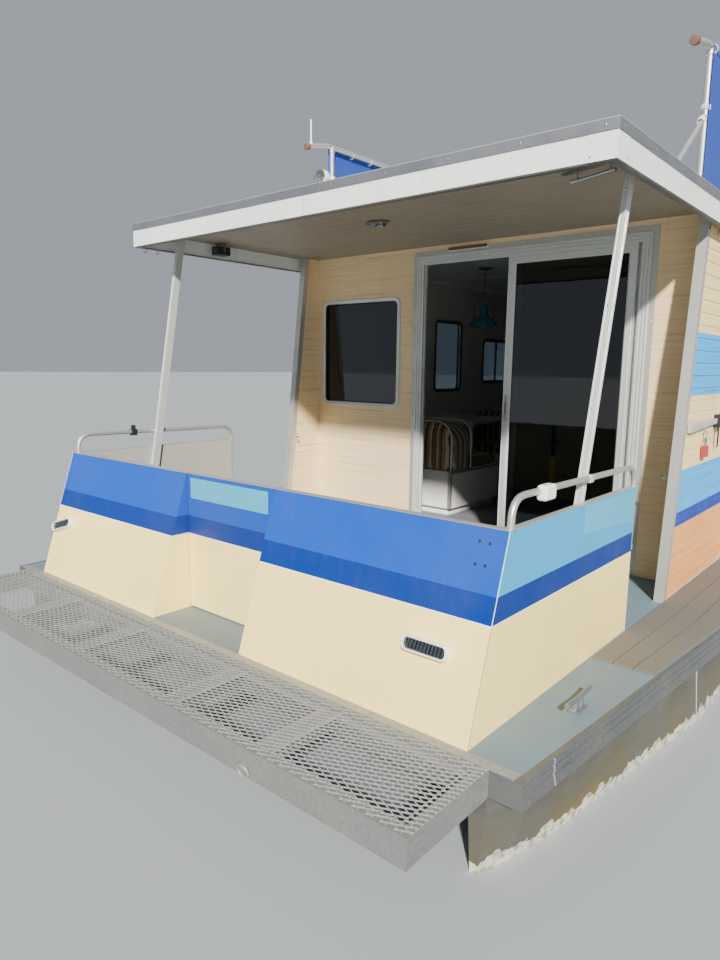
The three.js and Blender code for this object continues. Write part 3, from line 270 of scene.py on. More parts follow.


# Columns: finish, slot name, colour, roughness, metallic, share of stains, and what only some have
METALS = [
    ("rail_metal", "aluminium", "c0c0ba", 0.36, 0.7, 0.3, {}),
    ("trim_metal", "aluminium", "bdbdb4", 0.42, 0.6, 0.25, {}),
    ("frame_metal", "aluminium", "cdd0cd", 0.42, 0.45, 0.2, {"grain": (60, 60, 1)}),
    ("platform_steel", "galvanised", "5a5d5b", 0.6, 0.5, 0.35, {"stain": "5b564b", "flakes": 0.1}),
    ("galvanised", "galvanised", "868886", 0.55, 0.6, 0.4, {"stain": "5f574c", "flakes": 0.25}),
    ("gunwale_metal", "aluminium", "5f6464", 0.5, 0.85, 0.4, {"stain": "66624f", "grain_depth": 0.0004}),
    ("drip_metal", "drip_metal", "7f828b", 0.5, 0.85, 0.3, {"stain": "6f6c6a"}),
    ("weld_metal", "hull_metal", "a29f92", 0.5, 0.4, 0.3, {"stain": "8d8358"}),
    ("dark_metal", "drip_metal", "3b3a38", 0.5, 0.5, 0.3, {}),
    ("chrome", "aluminium", "d4d6d8", 0.12, 1.0, 0.06, {"grain_depth": 0.00003}),
]
for name, slot, *values, more in METALS:
    finishes[name], SLOT_OF[name] = metal(name, *values, **more), slot
print("metals:", len(METALS))

# %% [markdown]
# ## Weathered hull
# The hulls are bare welded sheet that has sat in lake water for years. Above, they are a dull grey; lower down brown
# and yellow stains build up, and at the water a ragged white line of scale has dried on. All three are driven by
# height, each with its edge broken up by noise. Below the water the metal is dark with growth.

# %% Weathered hull
SCALE_LINE = 0.048


def hull_finish():
    material, tree, sockets = shader("hull_metal")
    level = along_axis(tree)
    blotch = noise(tree, 2.6, (1, 1, 1.8), detail=8, rough=0.65)
    streak = noise(tree, 1.0, (14, 14, 1.2), detail=6)
    grey = mix(tree, spread(tree, blotch, 0.35, 0.7), colour("5e5e57"), colour("46453d"))
    low = spread(tree, level, 0.22, 0.05)
    yellow = calculate(tree, "MULTIPLY", low, spread(tree, blotch, 0.40, 0.66))
    stained = mix(tree, yellow, grey, colour("766839"))
    runs = calculate(tree, "MULTIPLY", spread(tree, streak, 0.5, 0.72), spread(tree, level, 0.34, 0.1, 0, 0.6))
    stained = mix(tree, runs, stained, colour("5f5a49"))
    ragged = calculate(tree, "ADD", level, spread(tree, noise(tree, 16, detail=6), 0.3, 0.7, -0.03, 0.03))
    scale = calculate(tree, "LESS_THAN", ragged, SCALE_LINE)
    broken = spread(tree, noise(tree, 34, detail=5), 0.36, 0.56, 0.25, 0.9)
    crusted = mix(tree, calculate(tree, "MULTIPLY", scale, broken), stained, colour("dcd9c4"))
    wet = calculate(tree, "LESS_THAN", level, 0.0)
    growth = mix(tree, spread(tree, noise(tree, 9, detail=7), 0.35, 0.65), colour("2d2f24"), colour("4a4733"))
    rough = spread(tree, blotch, 0.3, 0.7, 0.45, 0.8)
    crust = bump(tree, noise(tree, 45, detail=6), 0.002, spread(tree, level, 0.25, 0.0, 0.15, 0.9))
    dents = bump(tree, noise(tree, 1.4, detail=3), 0.02, 0.5, crust)
    final = mix(tree, wet, crusted, growth)
    feed(tree, sockets, {"Base Color": final, "Roughness": rough, "Metallic": 0.35, "Normal": dents})
    return material


finishes["hull_metal"], SLOT_OF["hull_metal"] = hull_finish(), "hull_metal"
print("hull finish made, scale line", SCALE_LINE, "m above the water")

# %% [markdown]
# ## Glass and cloth
# The panes are tinted, so from outside they are nearly black, which a dark tint with full transmission gives, and a
# faint smear breaks up what they mirror. The canvas is a coarse plain weave and the dinette cloth a striped one, both
# made from crossed waves at thread size.

# %% Glass and cloth
def glass(name, tint):
    material, tree, sockets = shader(name)
    smear = spread(tree, noise(tree, 4, detail=5), 0.45, 0.75, 0.015, 0.07)
    constants = {"Base Color": colour(tint), "Transmission Weight": 1.0, "IOR": 1.6}
    feed(tree, sockets, {**constants, "Roughness": smear})
    return material


STRIPE_REPEAT = 0.15
UPHOLSTERY = [(0, "6e5238"), (0.14, "c9b08a"), (0.3, "8a6a48"), (0.42, "2f2a26"), (0.5, "a78a64"), (0.68, "d8c6a4"),
              (0.82, "5a4632"), (0.92, "9c7c56")]


def cloth(name, base, thread=900.0, striped=False, wrapped=0.0, fade=0.25, sheen=0.25):
    """Threads cross along the boat and upwards. Stripes lie along the boat, and wrapped ones turn over an edge."""
    material, tree, sockets = shader(name)
    warp, weft = (node(tree, "TexWave", {"Vector": place(tree), "Scale": thread / 20, "Distortion": 0.4}, 1,
                       bands_direction=axis) for axis in "XZ")
    threads = calculate(tree, "MULTIPLY", warp, weft)
    value = colour(base)
    if striped:
        turned_over = calculate(tree, "MULTIPLY", along_axis(tree, "X"), wrapped)
        across = calculate(tree, "ADD", along_axis(tree, "Y"), turned_over)
        share = calculate(tree, "FRACT", calculate(tree, "DIVIDE", across, STRIPE_REPEAT))
        value = stepped(tree, share, UPHOLSTERY)
    faded = mix(tree, spread(tree, noise(tree, 1.2, detail=5), 0.4, 0.75, 0, fade), value, colour("8f9aa6"))
    shaded = mix(tree, spread(tree, threads, 0.0, 0.6, 0.25, 0), faded, colour("141414"))
    weave = bump(tree, threads, 0.0004, 0.8)
    feed(tree, sockets, {"Base Color": shaded, "Roughness": 0.92, "Normal": weave, "Sheen Weight": sheen})
    return material


# Columns: maker, finish, slot name, colour, and what only some have
SOFT = [
    (glass, "tinted_glass", "tinted_glass", "59646c", {}),
    (glass, "lamp_lens", "lamp_white", "c9cdd0", {}),
    (cloth, "canvas", "canvas", "073c9c", {"fade": 0.08, "sheen": 0.02}),
    (cloth, "striped_cloth", "striped_cloth", "8a6a48", {"striped": True}),
    (cloth, "striped_back", "striped_cloth", "8a6a48", {"striped": True, "wrapped": 1.0}),
    (cloth, "carpet", "canvas", "141d33", {"thread": 500.0, "fade": 0.04}),
    (cloth, "webbing", "canvas", "ece9df", {"thread": 700.0}),
]
for maker, name, slot, base, more in SOFT:
    finishes[name], SLOT_OF[name] = maker(name, base, **more), slot
print("finishes in all:", len(finishes))

# %% [markdown]
# ## Finish for what stays
# Many solids of the frame already have their true shape, so they keep it and only get a finish. A glTF mesh comes
# in with one material slot, and putting ours in that slot is all it takes.

# %% Finish for what stays
KEPT = {
    "hull_metal": ["hull_port", "hull_starboard"],
    "deck_paint": ["deck"],
    "gunwale_metal": ["gunwale_port", "gunwale_starboard", "motor_bracket"],
    "platform_steel": ["platform_frame"],
    "bow_paint": ["bulwark_front_port", "bulwark_front_starboard", "bow_gate"],
    "quarter_paint": ["bulwark_side_port", "bulwark_side_starboard"],
    "roof_white": ["roof", "roof_fascia"],
    "drip_metal": ["roof_drip_edge"],
    "wall_board": ["wall_front", "wall_port", "wall_starboard", "wall_aft"],
    "trim_metal": ["wing_trim_port", "wing_trim_starboard"],
    "laminate": ["galley_cabinet"],
    "motor_paint": ["motor_clamp", "motor_swivel"],
}
for finish_name, names in KEPT.items():
    for name in names:
        slots = NODES[name].data.materials
        if len(slots):
            slots[0] = finishes[finish_name]
        else:
            slots.append(finishes[finish_name])
print("nodes with a finish:", sum(len(names) for names in KEPT.values()), "of", len(NODES))

# %% [markdown]
# ## Floor and light
# The boat floats, so the studio floor stands for the water and lies at z = 0. One warm sun from off the port bow
# gives the sunlit sides of the photograph, and a pale world fills the shade under the roof.

# %% Floor and light
REACH = 120
floor_mesh = bpy.data.meshes.new("studio_floor")
floor_corners = [(-REACH, -REACH, 0), (REACH, -REACH, 0), (REACH, REACH, 0), (-REACH, REACH, 0)]
floor_mesh.from_pydata(floor_corners, [], [(0, 1, 2, 3)])
floor = placed("studio_floor", floor_mesh)
floor_material, floor_tree, floor_sockets = shader("studio_floor")
feed(floor_tree, floor_sockets, {"Base Color": colour("969ca0"), "Roughness": 0.7})
floor_mesh.materials.append(floor_material)

world = bpy.data.worlds.new("studio")
world.use_nodes = True
backdrop = world.node_tree.nodes["Background"]
backdrop.inputs[0].default_value = (0.80, 0.86, 0.95, 1)
backdrop.inputs[1].default_value = 0.47
bpy.context.scene.world = world

key_data = bpy.data.lights.new("key", "SUN")
key_data.energy = 10.2
key_data.angle = math.radians(3)
key_data.color = (1, 0.96, 0.9)
key = placed("key", key_data)
KEY_FROM = Vector((0.67, 0.55, 0.53))
key.rotation_mode = "QUATERNION"
key.rotation_quaternion = KEY_FROM.to_track_quat("Z", "Y")
print("floor at the waterline; key", round(math.degrees(KEY_FROM.angle(Vector((0, 0, 1))))), "degrees from overhead")

# %% [markdown]
# ## Helpers for meshes
# Finer pieces are built from points and faces in one place, a `Shape`, which knows boxes, prisms, lofts, tubes and
# turned profiles. When it is made into an object the mesh stays at the origin, its normals are turned outwards, flat
# and round stretches are told apart by angle, and a bevel breaks the edges as a press brake or a router would.

# %% Helpers for meshes
def around(count, whole=2 * math.pi, more=0):
    """Evenly spaced angles of a circle or a part of it."""
    return [whole * k / count for k in range(count + more)]


def shifted(outline, a, b):
    return [(x + a, y + b) for x, y in outline]


def rounded(width, height, radius, steps=6):
    """The corner points of a round-cornered rectangle about the origin, anticlockwise."""
    points = []
    for quarter, (a, b) in enumerate(((1, 1), (-1, 1), (-1, -1), (1, -1))):
        for step in range(steps + 1):
            angle = math.pi / 2 * (quarter + step / steps)
            across = a * (width / 2 - radius) + radius * math.cos(angle)
            points.append((across, b * (height / 2 - radius) + radius * math.sin(angle)))
    return points


def bent(corners, bend):
    corners = [Vector(p) for p in corners]
    if bend <= 0:
        return corners
    path = [corners[0]]
    for before, at, after in zip(corners, corners[1:], corners[2:]):
        start = at + (before - at).normalized() * bend
        end = at + (after - at).normalized() * bend
        path += [start.lerp(at, share).lerp(at.lerp(end, share), share) for share in (step / 6 for step in range(7))]
    return path + [corners[-1]]


def mesh_object(name, mesh, finish, body):
    mesh.name = name
    mesh.materials.clear()
    mesh.materials.append(finishes[finish])
    made = placed(name, mesh)
    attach(made, body)
    return made


print("helpers ready: around, shifted, rounded, bent, mesh_object")

# %% The gatherer of shapes
class Shape:
    """Points and faces gathered for one piece, in metres."""

    def __init__(self):
        self.points, self.faces = [], []

    def add(self, points, faces):
        first = len(self.points)
        self.points += [Vector(p) for p in points]
        self.faces += [[first + i for i in face] for face in faces]
        return self

    def box(self, corner, other):
        """A box between any two opposite corners."""
        (a, d), (b, e), (c, f) = (sorted(pair) for pair in zip(corner, other))
        corners = [(a, b, c), (d, b, c), (d, e, c), (a, e, c), (a, b, f), (d, b, f), (d, e, f), (a, e, f)]
        sides = [(3, 2, 1, 0), (4, 5, 6, 7), (0, 1, 5, 4), (1, 2, 6, 5), (2, 3, 7, 6), (3, 0, 4, 7)]
        return self.add(corners, sides)

    def loft(self, sections, closed=False):
        count = len(sections[0])
        points = [p for section in sections for p in section]
        faces = []
        for s in range(len(sections) - (0 if closed else 1)):
            here, there = s * count, (s + 1) % len(sections) * count
            for k in range(count):
                after = (k + 1) % count
                faces.append((here + k, here + after, there + after, there + k))
        if not closed:
            faces += [tuple(reversed(range(count))), tuple(range(len(points) - count, len(points)))]
        return self.add(points, faces)

    def prism(self, outline, axis, low, high):
        """An outline in the other two axes, taken in their own order, and pulled along this one."""
        at = "XYZ".index(axis)
        return self.loft([[(*p[:at], end, *p[at:]) for p in outline] for end in (low, high)])

    def tube(self, corners, radius, bend=0.0, sides=16, flutes=0, closed=False):
        """A round bar along corner points, its corners bent in short steps, with grooves along it if asked."""
        path = bent(corners, bend)
        side = Vector((0.31, 0.17, 0.94))
        sections = []
        for i, centre in enumerate(path):
            after = path[(i + 1) % len(path)] if closed else path[min(i + 1, len(path) - 1)]
            before = path[i - 1] if closed else path[max(i - 1, 0)]
            along = (after - before).normalized()
            side = (side - along * side.dot(along)).normalized()
            other = along.cross(side)
            ring = []
            for k, angle in enumerate(around(sides)):
                reach = radius * (0.9 if flutes and k % (sides // flutes) == 0 else 1)
                ring.append(centre + side * reach * math.cos(angle) + other * reach * math.sin(angle))
            sections.append(ring)
        return self.loft(sections, closed)

    def turned(self, profile, origin, axis=(0, 0, 1), sides=32):
        """Radius and height pairs spun about an axis. A radius of 0 closes the end in a point."""
        turn = Vector(axis).normalized().to_track_quat("Z", "Y")
        spots, rings, faces = [], [], []
        for radius, height in profile:
            count = sides if radius > 0 else 1
            rings.append(list(range(len(spots), len(spots) + count)))
            for angle in around(sides)[:count]:
                spot = Vector((radius * math.cos(angle), radius * math.sin(angle), height))
                spots.append(Vector(origin) + turn @ spot)
        for low, high in zip(rings, rings[1:]):
            for k in range(sides):
                face = [ring[j % len(ring)] for ring, j in ((low, k), (low, k + 1), (high, k + 1), (high, k))]
                faces.append([corner for i, corner in enumerate(face) if corner not in face[:i]])
        if tuple(profile[0]) != tuple(profile[-1]):
            faces += [ring for ring in (rings[0], rings[-1]) if len(ring) > 1]
        return self.add(spots, [face for face in faces if len(face) > 2])

    def disc(self, radius, low, high, origin, axis=(0, 0, 1), sides=32):
        """A plain cylinder between two heights on an axis."""
        return self.turned([(0, low), (radius, low), (radius, high), (0, high)], origin, axis, sides)

    def collar(self, inner, outer, half, origin, axis=(0, 0, 1), sides=32):
        profile = [(inner, -half), (outer, -half), (outer, half), (inner, half), (inner, -half)]
        return self.turned(profile, origin, axis, sides)

    def ring(self, width, height, radius, profile, steps=6):
        """A frame about the origin: its profile is pairs of inset and outward height, all the way round."""
        loops = []
        for inset, out in profile:
            flat = rounded(width - 2 * inset, height - 2 * inset, max(radius - inset, 0.002), steps)
            loops.append([(a, b, out) for a, b in flat])
        return self.loft(loops, closed=True)

    def moved(self, matrix):
        self.points = [matrix @ p for p in self.points]
        return self

    def make(self, name, finish, body="hull", bevel=0.0, crease=35, stands_for=None):
        """The gathered piece as an object. It may stand for a plain node of the frame."""
        mesh = bpy.data.meshes.new(name)
        mesh.from_pydata([tuple(p) for p in self.points], [], self.faces)
        work = bmesh.new()
        work.from_mesh(mesh)
        bmesh.ops.remove_doubles(work, verts=work.verts, dist=1e-6)
        bmesh.ops.delete(work, geom=[v for v in work.verts if not v.link_faces], context="VERTS")
        bmesh.ops.recalc_face_normals(work, faces=work.faces)
        work.to_mesh(mesh)
        work.free()
        mesh.shade_smooth()
        mesh.set_sharp_from_angle(angle=math.radians(crease))
        made = mesh_object(name, mesh, finish, body)
        if bevel:
            edges = made.modifiers.new("edges", "BEVEL")
            edges.width = bevel
            edges.segments = 2
            edges.angle_limit = math.radians(crease)
            edges.harden_normals = True
        if stands_for:
            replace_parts(made, stands_for)
        return made


print("helper ready: Shape")

# %% [markdown]
# ## Helpers for growing repeats
# Screws, grating strands and cord loops repeat by a rule, so Geometry Nodes place them. A `Growth` builds one tree:
# its sizes are named inputs, the seeds are bare points, and it ends in real, finished geometry that is then kept
# as a plain mesh.

# %% Helpers for growing repeats
class Growth:
    """A Geometry Nodes tree with named sizes, grown once from a set of seed points."""

    def __init__(self, name, sizes):
        self.group = bpy.data.node_groups.new(name, "GeometryNodeTree")
        self.sizes = sizes
        sockets = [("Geometry", "Geometry"), *((size, "Float") for size in sizes), ("Finish", "Material")]
        for label, kind in sockets:
            self.group.interface.new_socket(label, in_out="INPUT", socket_type="NodeSocket" + kind)
        self.group.interface.new_socket("Geometry", in_out="OUTPUT", socket_type="NodeSocketGeometry")
        self.given = self.group.nodes.new("NodeGroupInput").outputs

    def node(self, kind, inputs, **settings):
        return node(self.group, kind, inputs, **settings)

    def vector(self, x=0.0, y=0.0, z=0.0):
        return self.node("CombineXYZ", {0: x, 1: y, 2: z})

    def turned(self, geometry, turn):
        return self.node("GeometryNodeTransform", {"Geometry": geometry, "Rotation": turn})

    def scattered(self, instance, points=None, **inputs):
        """The instance on each seed point, or on other points."""
        spots = {"Points": points or self.given["Geometry"], "Instance": instance}
        return self.node("GeometryNodeInstanceOnPoints", {**spots, **inputs})

    def close(self, geometry):
        real = self.node("GeometryNodeRealizeInstances", {0: geometry})
        done = self.node("GeometryNodeSetMaterial", {"Geometry": real, "Material": self.given["Finish"]})
        self.group.links.new(done, self.group.nodes.new("NodeGroupOutput").inputs[0])
        return self

    def grow(self, name, seeds, finish, body="hull", facing=None):
        """Seeds are points. Facing is the outward direction at each, read by the tree as the attribute `facing`."""
        mesh = bpy.data.meshes.new(name)
        mesh.from_pydata([tuple(p) for p in seeds], [], [])
        if facing:
            outward = mesh.attributes.new("facing", "FLOAT_VECTOR", "POINT")
            outward.data.foreach_set("vector", [c for direction in facing for c in direction])
        seed = placed(name + "_seed", mesh)
        grower = seed.modifiers.new("grow", "NODES")
        grower.node_group = self.group
        values = {**self.sizes, "Finish": finishes[finish]}
        for item in self.group.interface.items_tree:
            if item.in_out == "INPUT" and item.name in values:
                grower[item.identifier] = values[item.name]
        grown = bpy.data.meshes.new_from_object(seed.evaluated_get(bpy.context.evaluated_depsgraph_get()))
        bpy.data.objects.remove(seed)
        made = mesh_object(name, grown, finish, body)
        print(f"{name}: {len(seeds)} seeds, {len(grown.polygons)} faces")
        return made


print("helper ready: Growth")

# %% Screw heads
def screw_growth(radius, height):
    """A low domed head on each seed, its flat side against the sheet."""
    tree = Growth("screw heads", {"Head radius": radius, "Head height": height})
    head = tree.node("GeometryNodeMeshUVSphere", {"Segments": 8, "Rings": 6, "Radius": tree.given["Head radius"]})
    sizes = {0: tree.given["Head height"], 1: tree.given["Head radius"]}
    squeeze = tree.vector(1.0, 1.0, tree.node("Math", sizes, operation="DIVIDE"))
    head = tree.node("GeometryNodeTransform", {"Geometry": head, "Scale": squeeze})
    facing = tree.node("GeometryNodeInputNamedAttribute", {"Name": "facing"}, data_type="FLOAT_VECTOR")
    turn = tree.node("FunctionNodeAlignRotationToVector", {"Vector": facing}, axis="Z")
    return tree.close(tree.scattered(head, Rotation=turn))


screws = []


def screw(start, facing, end=None, pitch=1.0):
    """Notes one screw, or a line of them. They are gathered while pieces are made and grown all at the end."""
    start = Vector(start)
    count = max(1, round((Vector(end) - start).length / pitch)) if end else 0
    spots = [start.lerp(Vector(end), i / count) for i in range(count + 1)] if end else [start]
    screws.extend((spot, Vector(facing)) for spot in spots)


print("helpers ready: screw_growth, screw")

# %% [markdown]
# ## Boarding platform
# The platform is a welded rail frame with expanded metal laid over it: a steel sheet slit and pulled open into
# diamonds about 51 mm by 23 mm. Every strand runs between two bonds, tilted a little, which is what catches the
# light. A strand pair crossed at each bond and repeated on a staggered field gives the same weave. Thin flanges on
# the bars carry the sheet's edges.

# %% Expanded metal
DIAMOND = (0.051, 0.0228)
STRAND = {"Strand width": 0.0042, "Strand thickness": 0.0024, "Strand tilt": math.radians(30)}
CROSS_BARS = (0.970, 0.450, -0.270, -0.900)
grating_low, grating_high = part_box("platform_grating")
frame_low, frame_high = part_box("platform_frame")


def grating_growth():
    half_long, half_short = DIAMOND[0] / 2, DIAMOND[1] / 2
    tree = Growth("expanded metal", {"Strand length": math.hypot(half_long, half_short), **STRAND})
    size = tree.vector(*(tree.given["Strand " + way] for way in ("width", "length", "thickness")))
    strand = tree.node("GeometryNodeMeshCube", {"Size": size})
    tilted = tree.turned(strand, tree.vector(0.0, tree.given["Strand tilt"]))
    slant = math.atan2(half_short, half_long)
    pair = [tree.turned(tilted, tree.vector(0.0, 0.0, sign * slant)) for sign in (1, -1)]
    return tree.close(tree.scattered(tree.node("GeometryNodeJoinGeometry", {0: pair})))


bonds, edge_bonds = [], []
steps_x = int((grating_high.x - grating_low.x) / (DIAMOND[1] / 2))
steps_y = int((grating_high.y - grating_low.y) / (DIAMOND[0] / 2))
for i in range(-2, steps_x + 3):
    for j in range(-1, steps_y + 2):
        if (i + j) % 2:
            x = grating_low.x + i * (grating_high.x - grating_low.x) / steps_x
            y = grating_low.y + j * (grating_high.y - grating_low.y) / steps_y
            if 0 < i < steps_x and 0 < j < steps_y:
                bonds.append((x, y, grating_high.z - 0.0025))
            else:
                edge_bonds.append((x, y, frame_high.z + 0.0022))
mesh_tree = grating_growth()
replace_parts(mesh_tree.grow("expanded_metal", bonds, "galvanised"), "platform_grating")
mesh_tree.grow("expanded_metal_edges", edge_bonds, "galvanised")
flanges = Shape()
aft_x, fore_x = grating_low.x + 0.001, grating_high.x - 0.001
for y in CROSS_BARS:
    flanges.box((aft_x, y - 0.048, 0.3912), (fore_x, y + 0.048, 0.3928))
    flanges.box((aft_x, y + 0.042, 0.3930), (fore_x, y + 0.050, 0.3998))
for x, width in ((aft_x, 0.036), (grating_high.x - 0.025, 0.024)):
    flanges.box((x, grating_low.y + 0.001, 0.3890), (x + width, grating_high.y - 0.001, 0.3906))
flanges.make("grating_flanges", "galvanised", bevel=0.0004)
print("strand joints:", len(bonds) + len(edge_bonds))

# %% [markdown]
# ## Fittings on the platform
# Two rings hang on the front rail for fenders and lines. Each is a round bar ring in a small welded strap.

# %% Rings on the front rail
for number, y in enumerate((0.93, -1.46), 1):
    drop = Vector((frame_high.x + 0.0055, y, frame_low.z + 0.036))
    hoop = [drop + Vector((0.004 * math.sin(a), 0.027 * math.cos(a), -0.016 + 0.022 * math.sin(a)))
            for a in around(20)]
    d_ring = Shape().tube(hoop, 0.0042, sides=8, closed=True)
    d_ring.box((drop.x - 0.0055, y - 0.014, drop.z - 0.004), (drop.x + 0.0045, y + 0.014, drop.z + 0.008))
    d_ring.make(f"platform_ring_{number}", "galvanised")
print("rings on the platform:", number)

# %% [markdown]
# ## Bulwark trims
# The bow panels are flat painted sheet. What makes them read as a built thing is the joinery: short white trims at
# the corners with a dark joint below them, the painted skins' edges, a thin metal cap along the top, a deck sill with
# its rim, blank plates where signs sat, and four plugged holes.

# %% Bulwark trims
low_panel, high_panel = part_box("bulwark_front_port")
side_low, side_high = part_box("bulwark_side_port")
BULWARK_TOP, DECK = high_panel.z, low_panel.z
CAP_TOP = BULWARK_TOP + 0.003
FOOT_X, HEAD_X = high_panel.x, 4.730
SLOPE = math.atan2(FOOT_X - HEAD_X, BULWARK_TOP - DECK)
GATE_EDGE, GATE_HALF = 0.330, 0.321
BULWARK_HALF = side_high.y
EDGE_Y = high_panel.y - 0.0004
SKIN_EDGE = [(0.0002, EDGE_Y), (0.0009, EDGE_Y), (0.0009, 1.4914), (0.0002, 1.4914)]
# Columns: piece, its foot and head, how far it stands out, its legs, finish
CORNERS = [("trim", 0.790, BULWARK_TOP, 0.0007, -0.0012, "trim_white"),
           ("joint", DECK + 0.002, 0.790, 0.0004, -0.0010, "dark_metal")]
QUARTER_SIGN = [(4.10, 0.978), (3.545, 0.948), (3.530, 1.090), (4.085, 1.098)]


def slope_x(z):
    return FOOT_X - (z - DECK) * math.tan(SLOPE)


for side, sign in SIDES:
    for part, foot, head, ply, leg, finish in CORNERS:
        angle = [(ply, ply), (ply, leg), (0, leg), (0, 0), (leg, 0), (leg, ply)]
        trim = Shape().loft([[(slope_x(z) + a, sign * (BULWARK_HALF + b), z) for a, b in angle] for z in (foot, head)])
        trim.make(f"corner_{part}_{side}", finish)
    skin = Shape()
    skin.loft([[(slope_x(z) + a, sign * y, z) for a, y in SKIN_EDGE] for z in (DECK + 0.001, BULWARK_TOP)])
    skin.make(f"bow_skin_edge_{side}", "bow_paint")
    joint_x, inner, outer = HEAD_X - 0.033, BULWARK_HALF - 0.031, BULWARK_HALF + 0.001
    cap = Shape()
    cap.box((joint_x, sign * GATE_EDGE, BULWARK_TOP), (HEAD_X + 0.0015, sign * BULWARK_HALF, CAP_TOP))
    cap.box((side_low.x, sign * inner, BULWARK_TOP), (joint_x, sign * outer, CAP_TOP))
    cap.make(f"bulwark_cap_{side}", "trim_metal", bevel=0.0008)
print("trims on both sides, slope", round(math.degrees(SLOPE), 1), "degrees")

# %% Gate cap, blank plates and sill
gate_low, gate_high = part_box("bow_gate")
gate_cap = Shape().box((gate_low.x + 0.018, -GATE_HALF, BULWARK_TOP), (gate_high.x + 0.001, GATE_HALF, CAP_TOP))
gate_cap.make("gate_cap", "trim_metal", "gate", bevel=0.0008)
sign_outline = shifted(rounded(0.58, 0.105, 0.006), -0.01, 1.0325)
sign_plate = Shape().prism(sign_outline, "X", gate_high.x, gate_high.x + 0.0018)
sign_plate.make("gate_plate_blank", "sign_blank", "gate", bevel=0.0005)
for side, sign in SIDES:
    plate = Shape().prism(QUARTER_SIGN, "Y", sign * BULWARK_HALF, sign * (BULWARK_HALF + 0.0015))
    plate.make(f"quarter_plate_{side}", "sign_pale", bevel=0.0005)
HOLES = ((1.388, 1.056), (1.429, 1.053), (1.387, 0.979), (1.426, 0.979))
plugs, outward = Shape(), (math.cos(SLOPE), 0, math.sin(SLOPE))
for y, z in HOLES:
    plugs.turned([(0, 0), (0.0055, 0), (0.0055, 0.0012), (0, 0.0016)], (slope_x(z), y, z), outward, 12)
plugs.make("plugged_holes", "black_plastic")
deck_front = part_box("deck")[1].x
sill = Shape().box((FOOT_X + 0.0015, -1.6905, DECK + 0.0003), (deck_front - 0.0006, 1.6905, DECK + 0.0015))
sill.make("deck_front_sill", "galvanised", bevel=0.0004)
rim = Shape()
for _, sign in SIDES:
    rim.box((deck_front + 0.0002, sign * 1.603, DECK - 0.094), (deck_front + 0.0018, sign * 1.7195, DECK - 0.0005))
rim.make("deck_front_rim", "gunwale_metal", bevel=0.0004)
print("plugged holes:", len(HOLES))

# %% [markdown]
# ## Docking lights
# Each is an oval white housing, screwed to the sloped panel, with a recessed dark lens and a row of ribs across it.
# `ring` sweeps one profile round the oval for the housing, and the ribs are a loop. The starboard one has slipped.

# %% Docking lights
LIGHT_W, LIGHT_H, LIGHT_D = 0.200, 0.062, 0.030
LIGHT_SPOTS = {"port": (1.265, 0.668, 0), "starboard": (-1.385, 0.690, math.radians(18))}
SHELL = [(0, 0), (0, 0.006), (0.0035, 0.024), (0.0055, LIGHT_D), (0.0085, LIGHT_D), (0.0105, 0.026),
         (0.0115, 0.004), (0.0115, 0)]
RIB = [(-0.0058, -0.0175), (0.0018, -0.0175), (0.0066, 0.0175), (-0.0010, 0.0175)]
RIBS, RIB_PITCH = 11, 0.015


def on_slope(y, z, askew=0):
    """A matrix from (across, up, out) on the sloped bow panel to the boat."""
    across, up = Vector((0, 1, 0)), Vector((-math.sin(SLOPE), 0, math.cos(SLOPE)))
    turn = Matrix((across, up, across.cross(up))).transposed().to_4x4()
    return Matrix.Translation((slope_x(z), y, z)) @ turn @ Matrix.Rotation(askew, 4, "Z")


def light_oval(inset, corner, low, high):
    return Shape().prism(rounded(LIGHT_W - inset, LIGHT_H - inset, corner, 8), "Z", low, high)


for side, spot in LIGHT_SPOTS.items():
    seat = on_slope(*spot)
    housing = light_oval(0.02, 0.016, 0.0005, 0.004).ring(LIGHT_W, LIGHT_H, LIGHT_H / 2 - 0.004, SHELL, steps=10)
    housing.moved(seat).make(f"docking_light_shell_{side}", "lamp_plastic", crease=50,
                             stands_for=f"docking_light_{side}")
    reflector = Shape()
    for i in range(RIBS):
        reflector.prism(shifted(RIB, (i - RIBS // 2) * RIB_PITCH, 0), "Z", 0.004, 0.015)
    reflector.moved(seat).make(f"docking_light_ribs_{side}", "chrome", bevel=0.0005)
    backing = light_oval(0.023, 0.0152, 0.004, 0.0052)
    backing.moved(seat).make(f"docking_light_well_{side}", "black_plastic")
    lens = light_oval(0.0225, 0.0155, 0.0205, 0.0235)
    lens.moved(seat).make(f"docking_light_lens_{side}", "lamp_lens", bevel=0.001)
    for end in (-0.0935, 0.0935):
        screw(seat @ Vector((end, 0, 0.0265)), seat.to_3x3() @ Vector((0, 0, 1)))
print("docking lights:", LIGHT_W, "m wide")

# %% [markdown]
# ## Rails
# All the rails are drawn tube with bent corners. The hand rails on the bulwark have fine grooves along them. Each
# stands for its plain, faceted solid: a rounder tube on the same line, which is repeated here in metres.

# %% Rails
HAND_RAIL_Y, HAND_R, HAND_FORE, HAND_AFT = 1.480, 0.013, 4.700, 3.5087
for side, sign in SIDES:
    y = sign * HAND_RAIL_Y
    line = [(HAND_FORE, y, BULWARK_TOP + 0.0003), (HAND_FORE, y, 1.214), (HAND_AFT, y, 1.200), (HAND_AFT, y, 0.800)]
    rail = Shape().tube(line, HAND_R, 0.09, 24, flutes=6)
    rail.turned([(0, 0), (0.022, 0), (0.022, 0.003), (0.014, 0.007), (0, 0.007)], (HAND_FORE, y, CAP_TOP))
    for z in (0.800, 1.040):
        rail.box((HAND_AFT - 0.012, y - 0.016, z), (HAND_AFT + 0.016, y + 0.012, z + 0.024))
    rail.make(f"hand_rail_tube_{side}", "rail_metal", stands_for=f"hand_rail_{side}")
print("hand rails", round(HAND_FORE - HAND_AFT, 2), "m long")

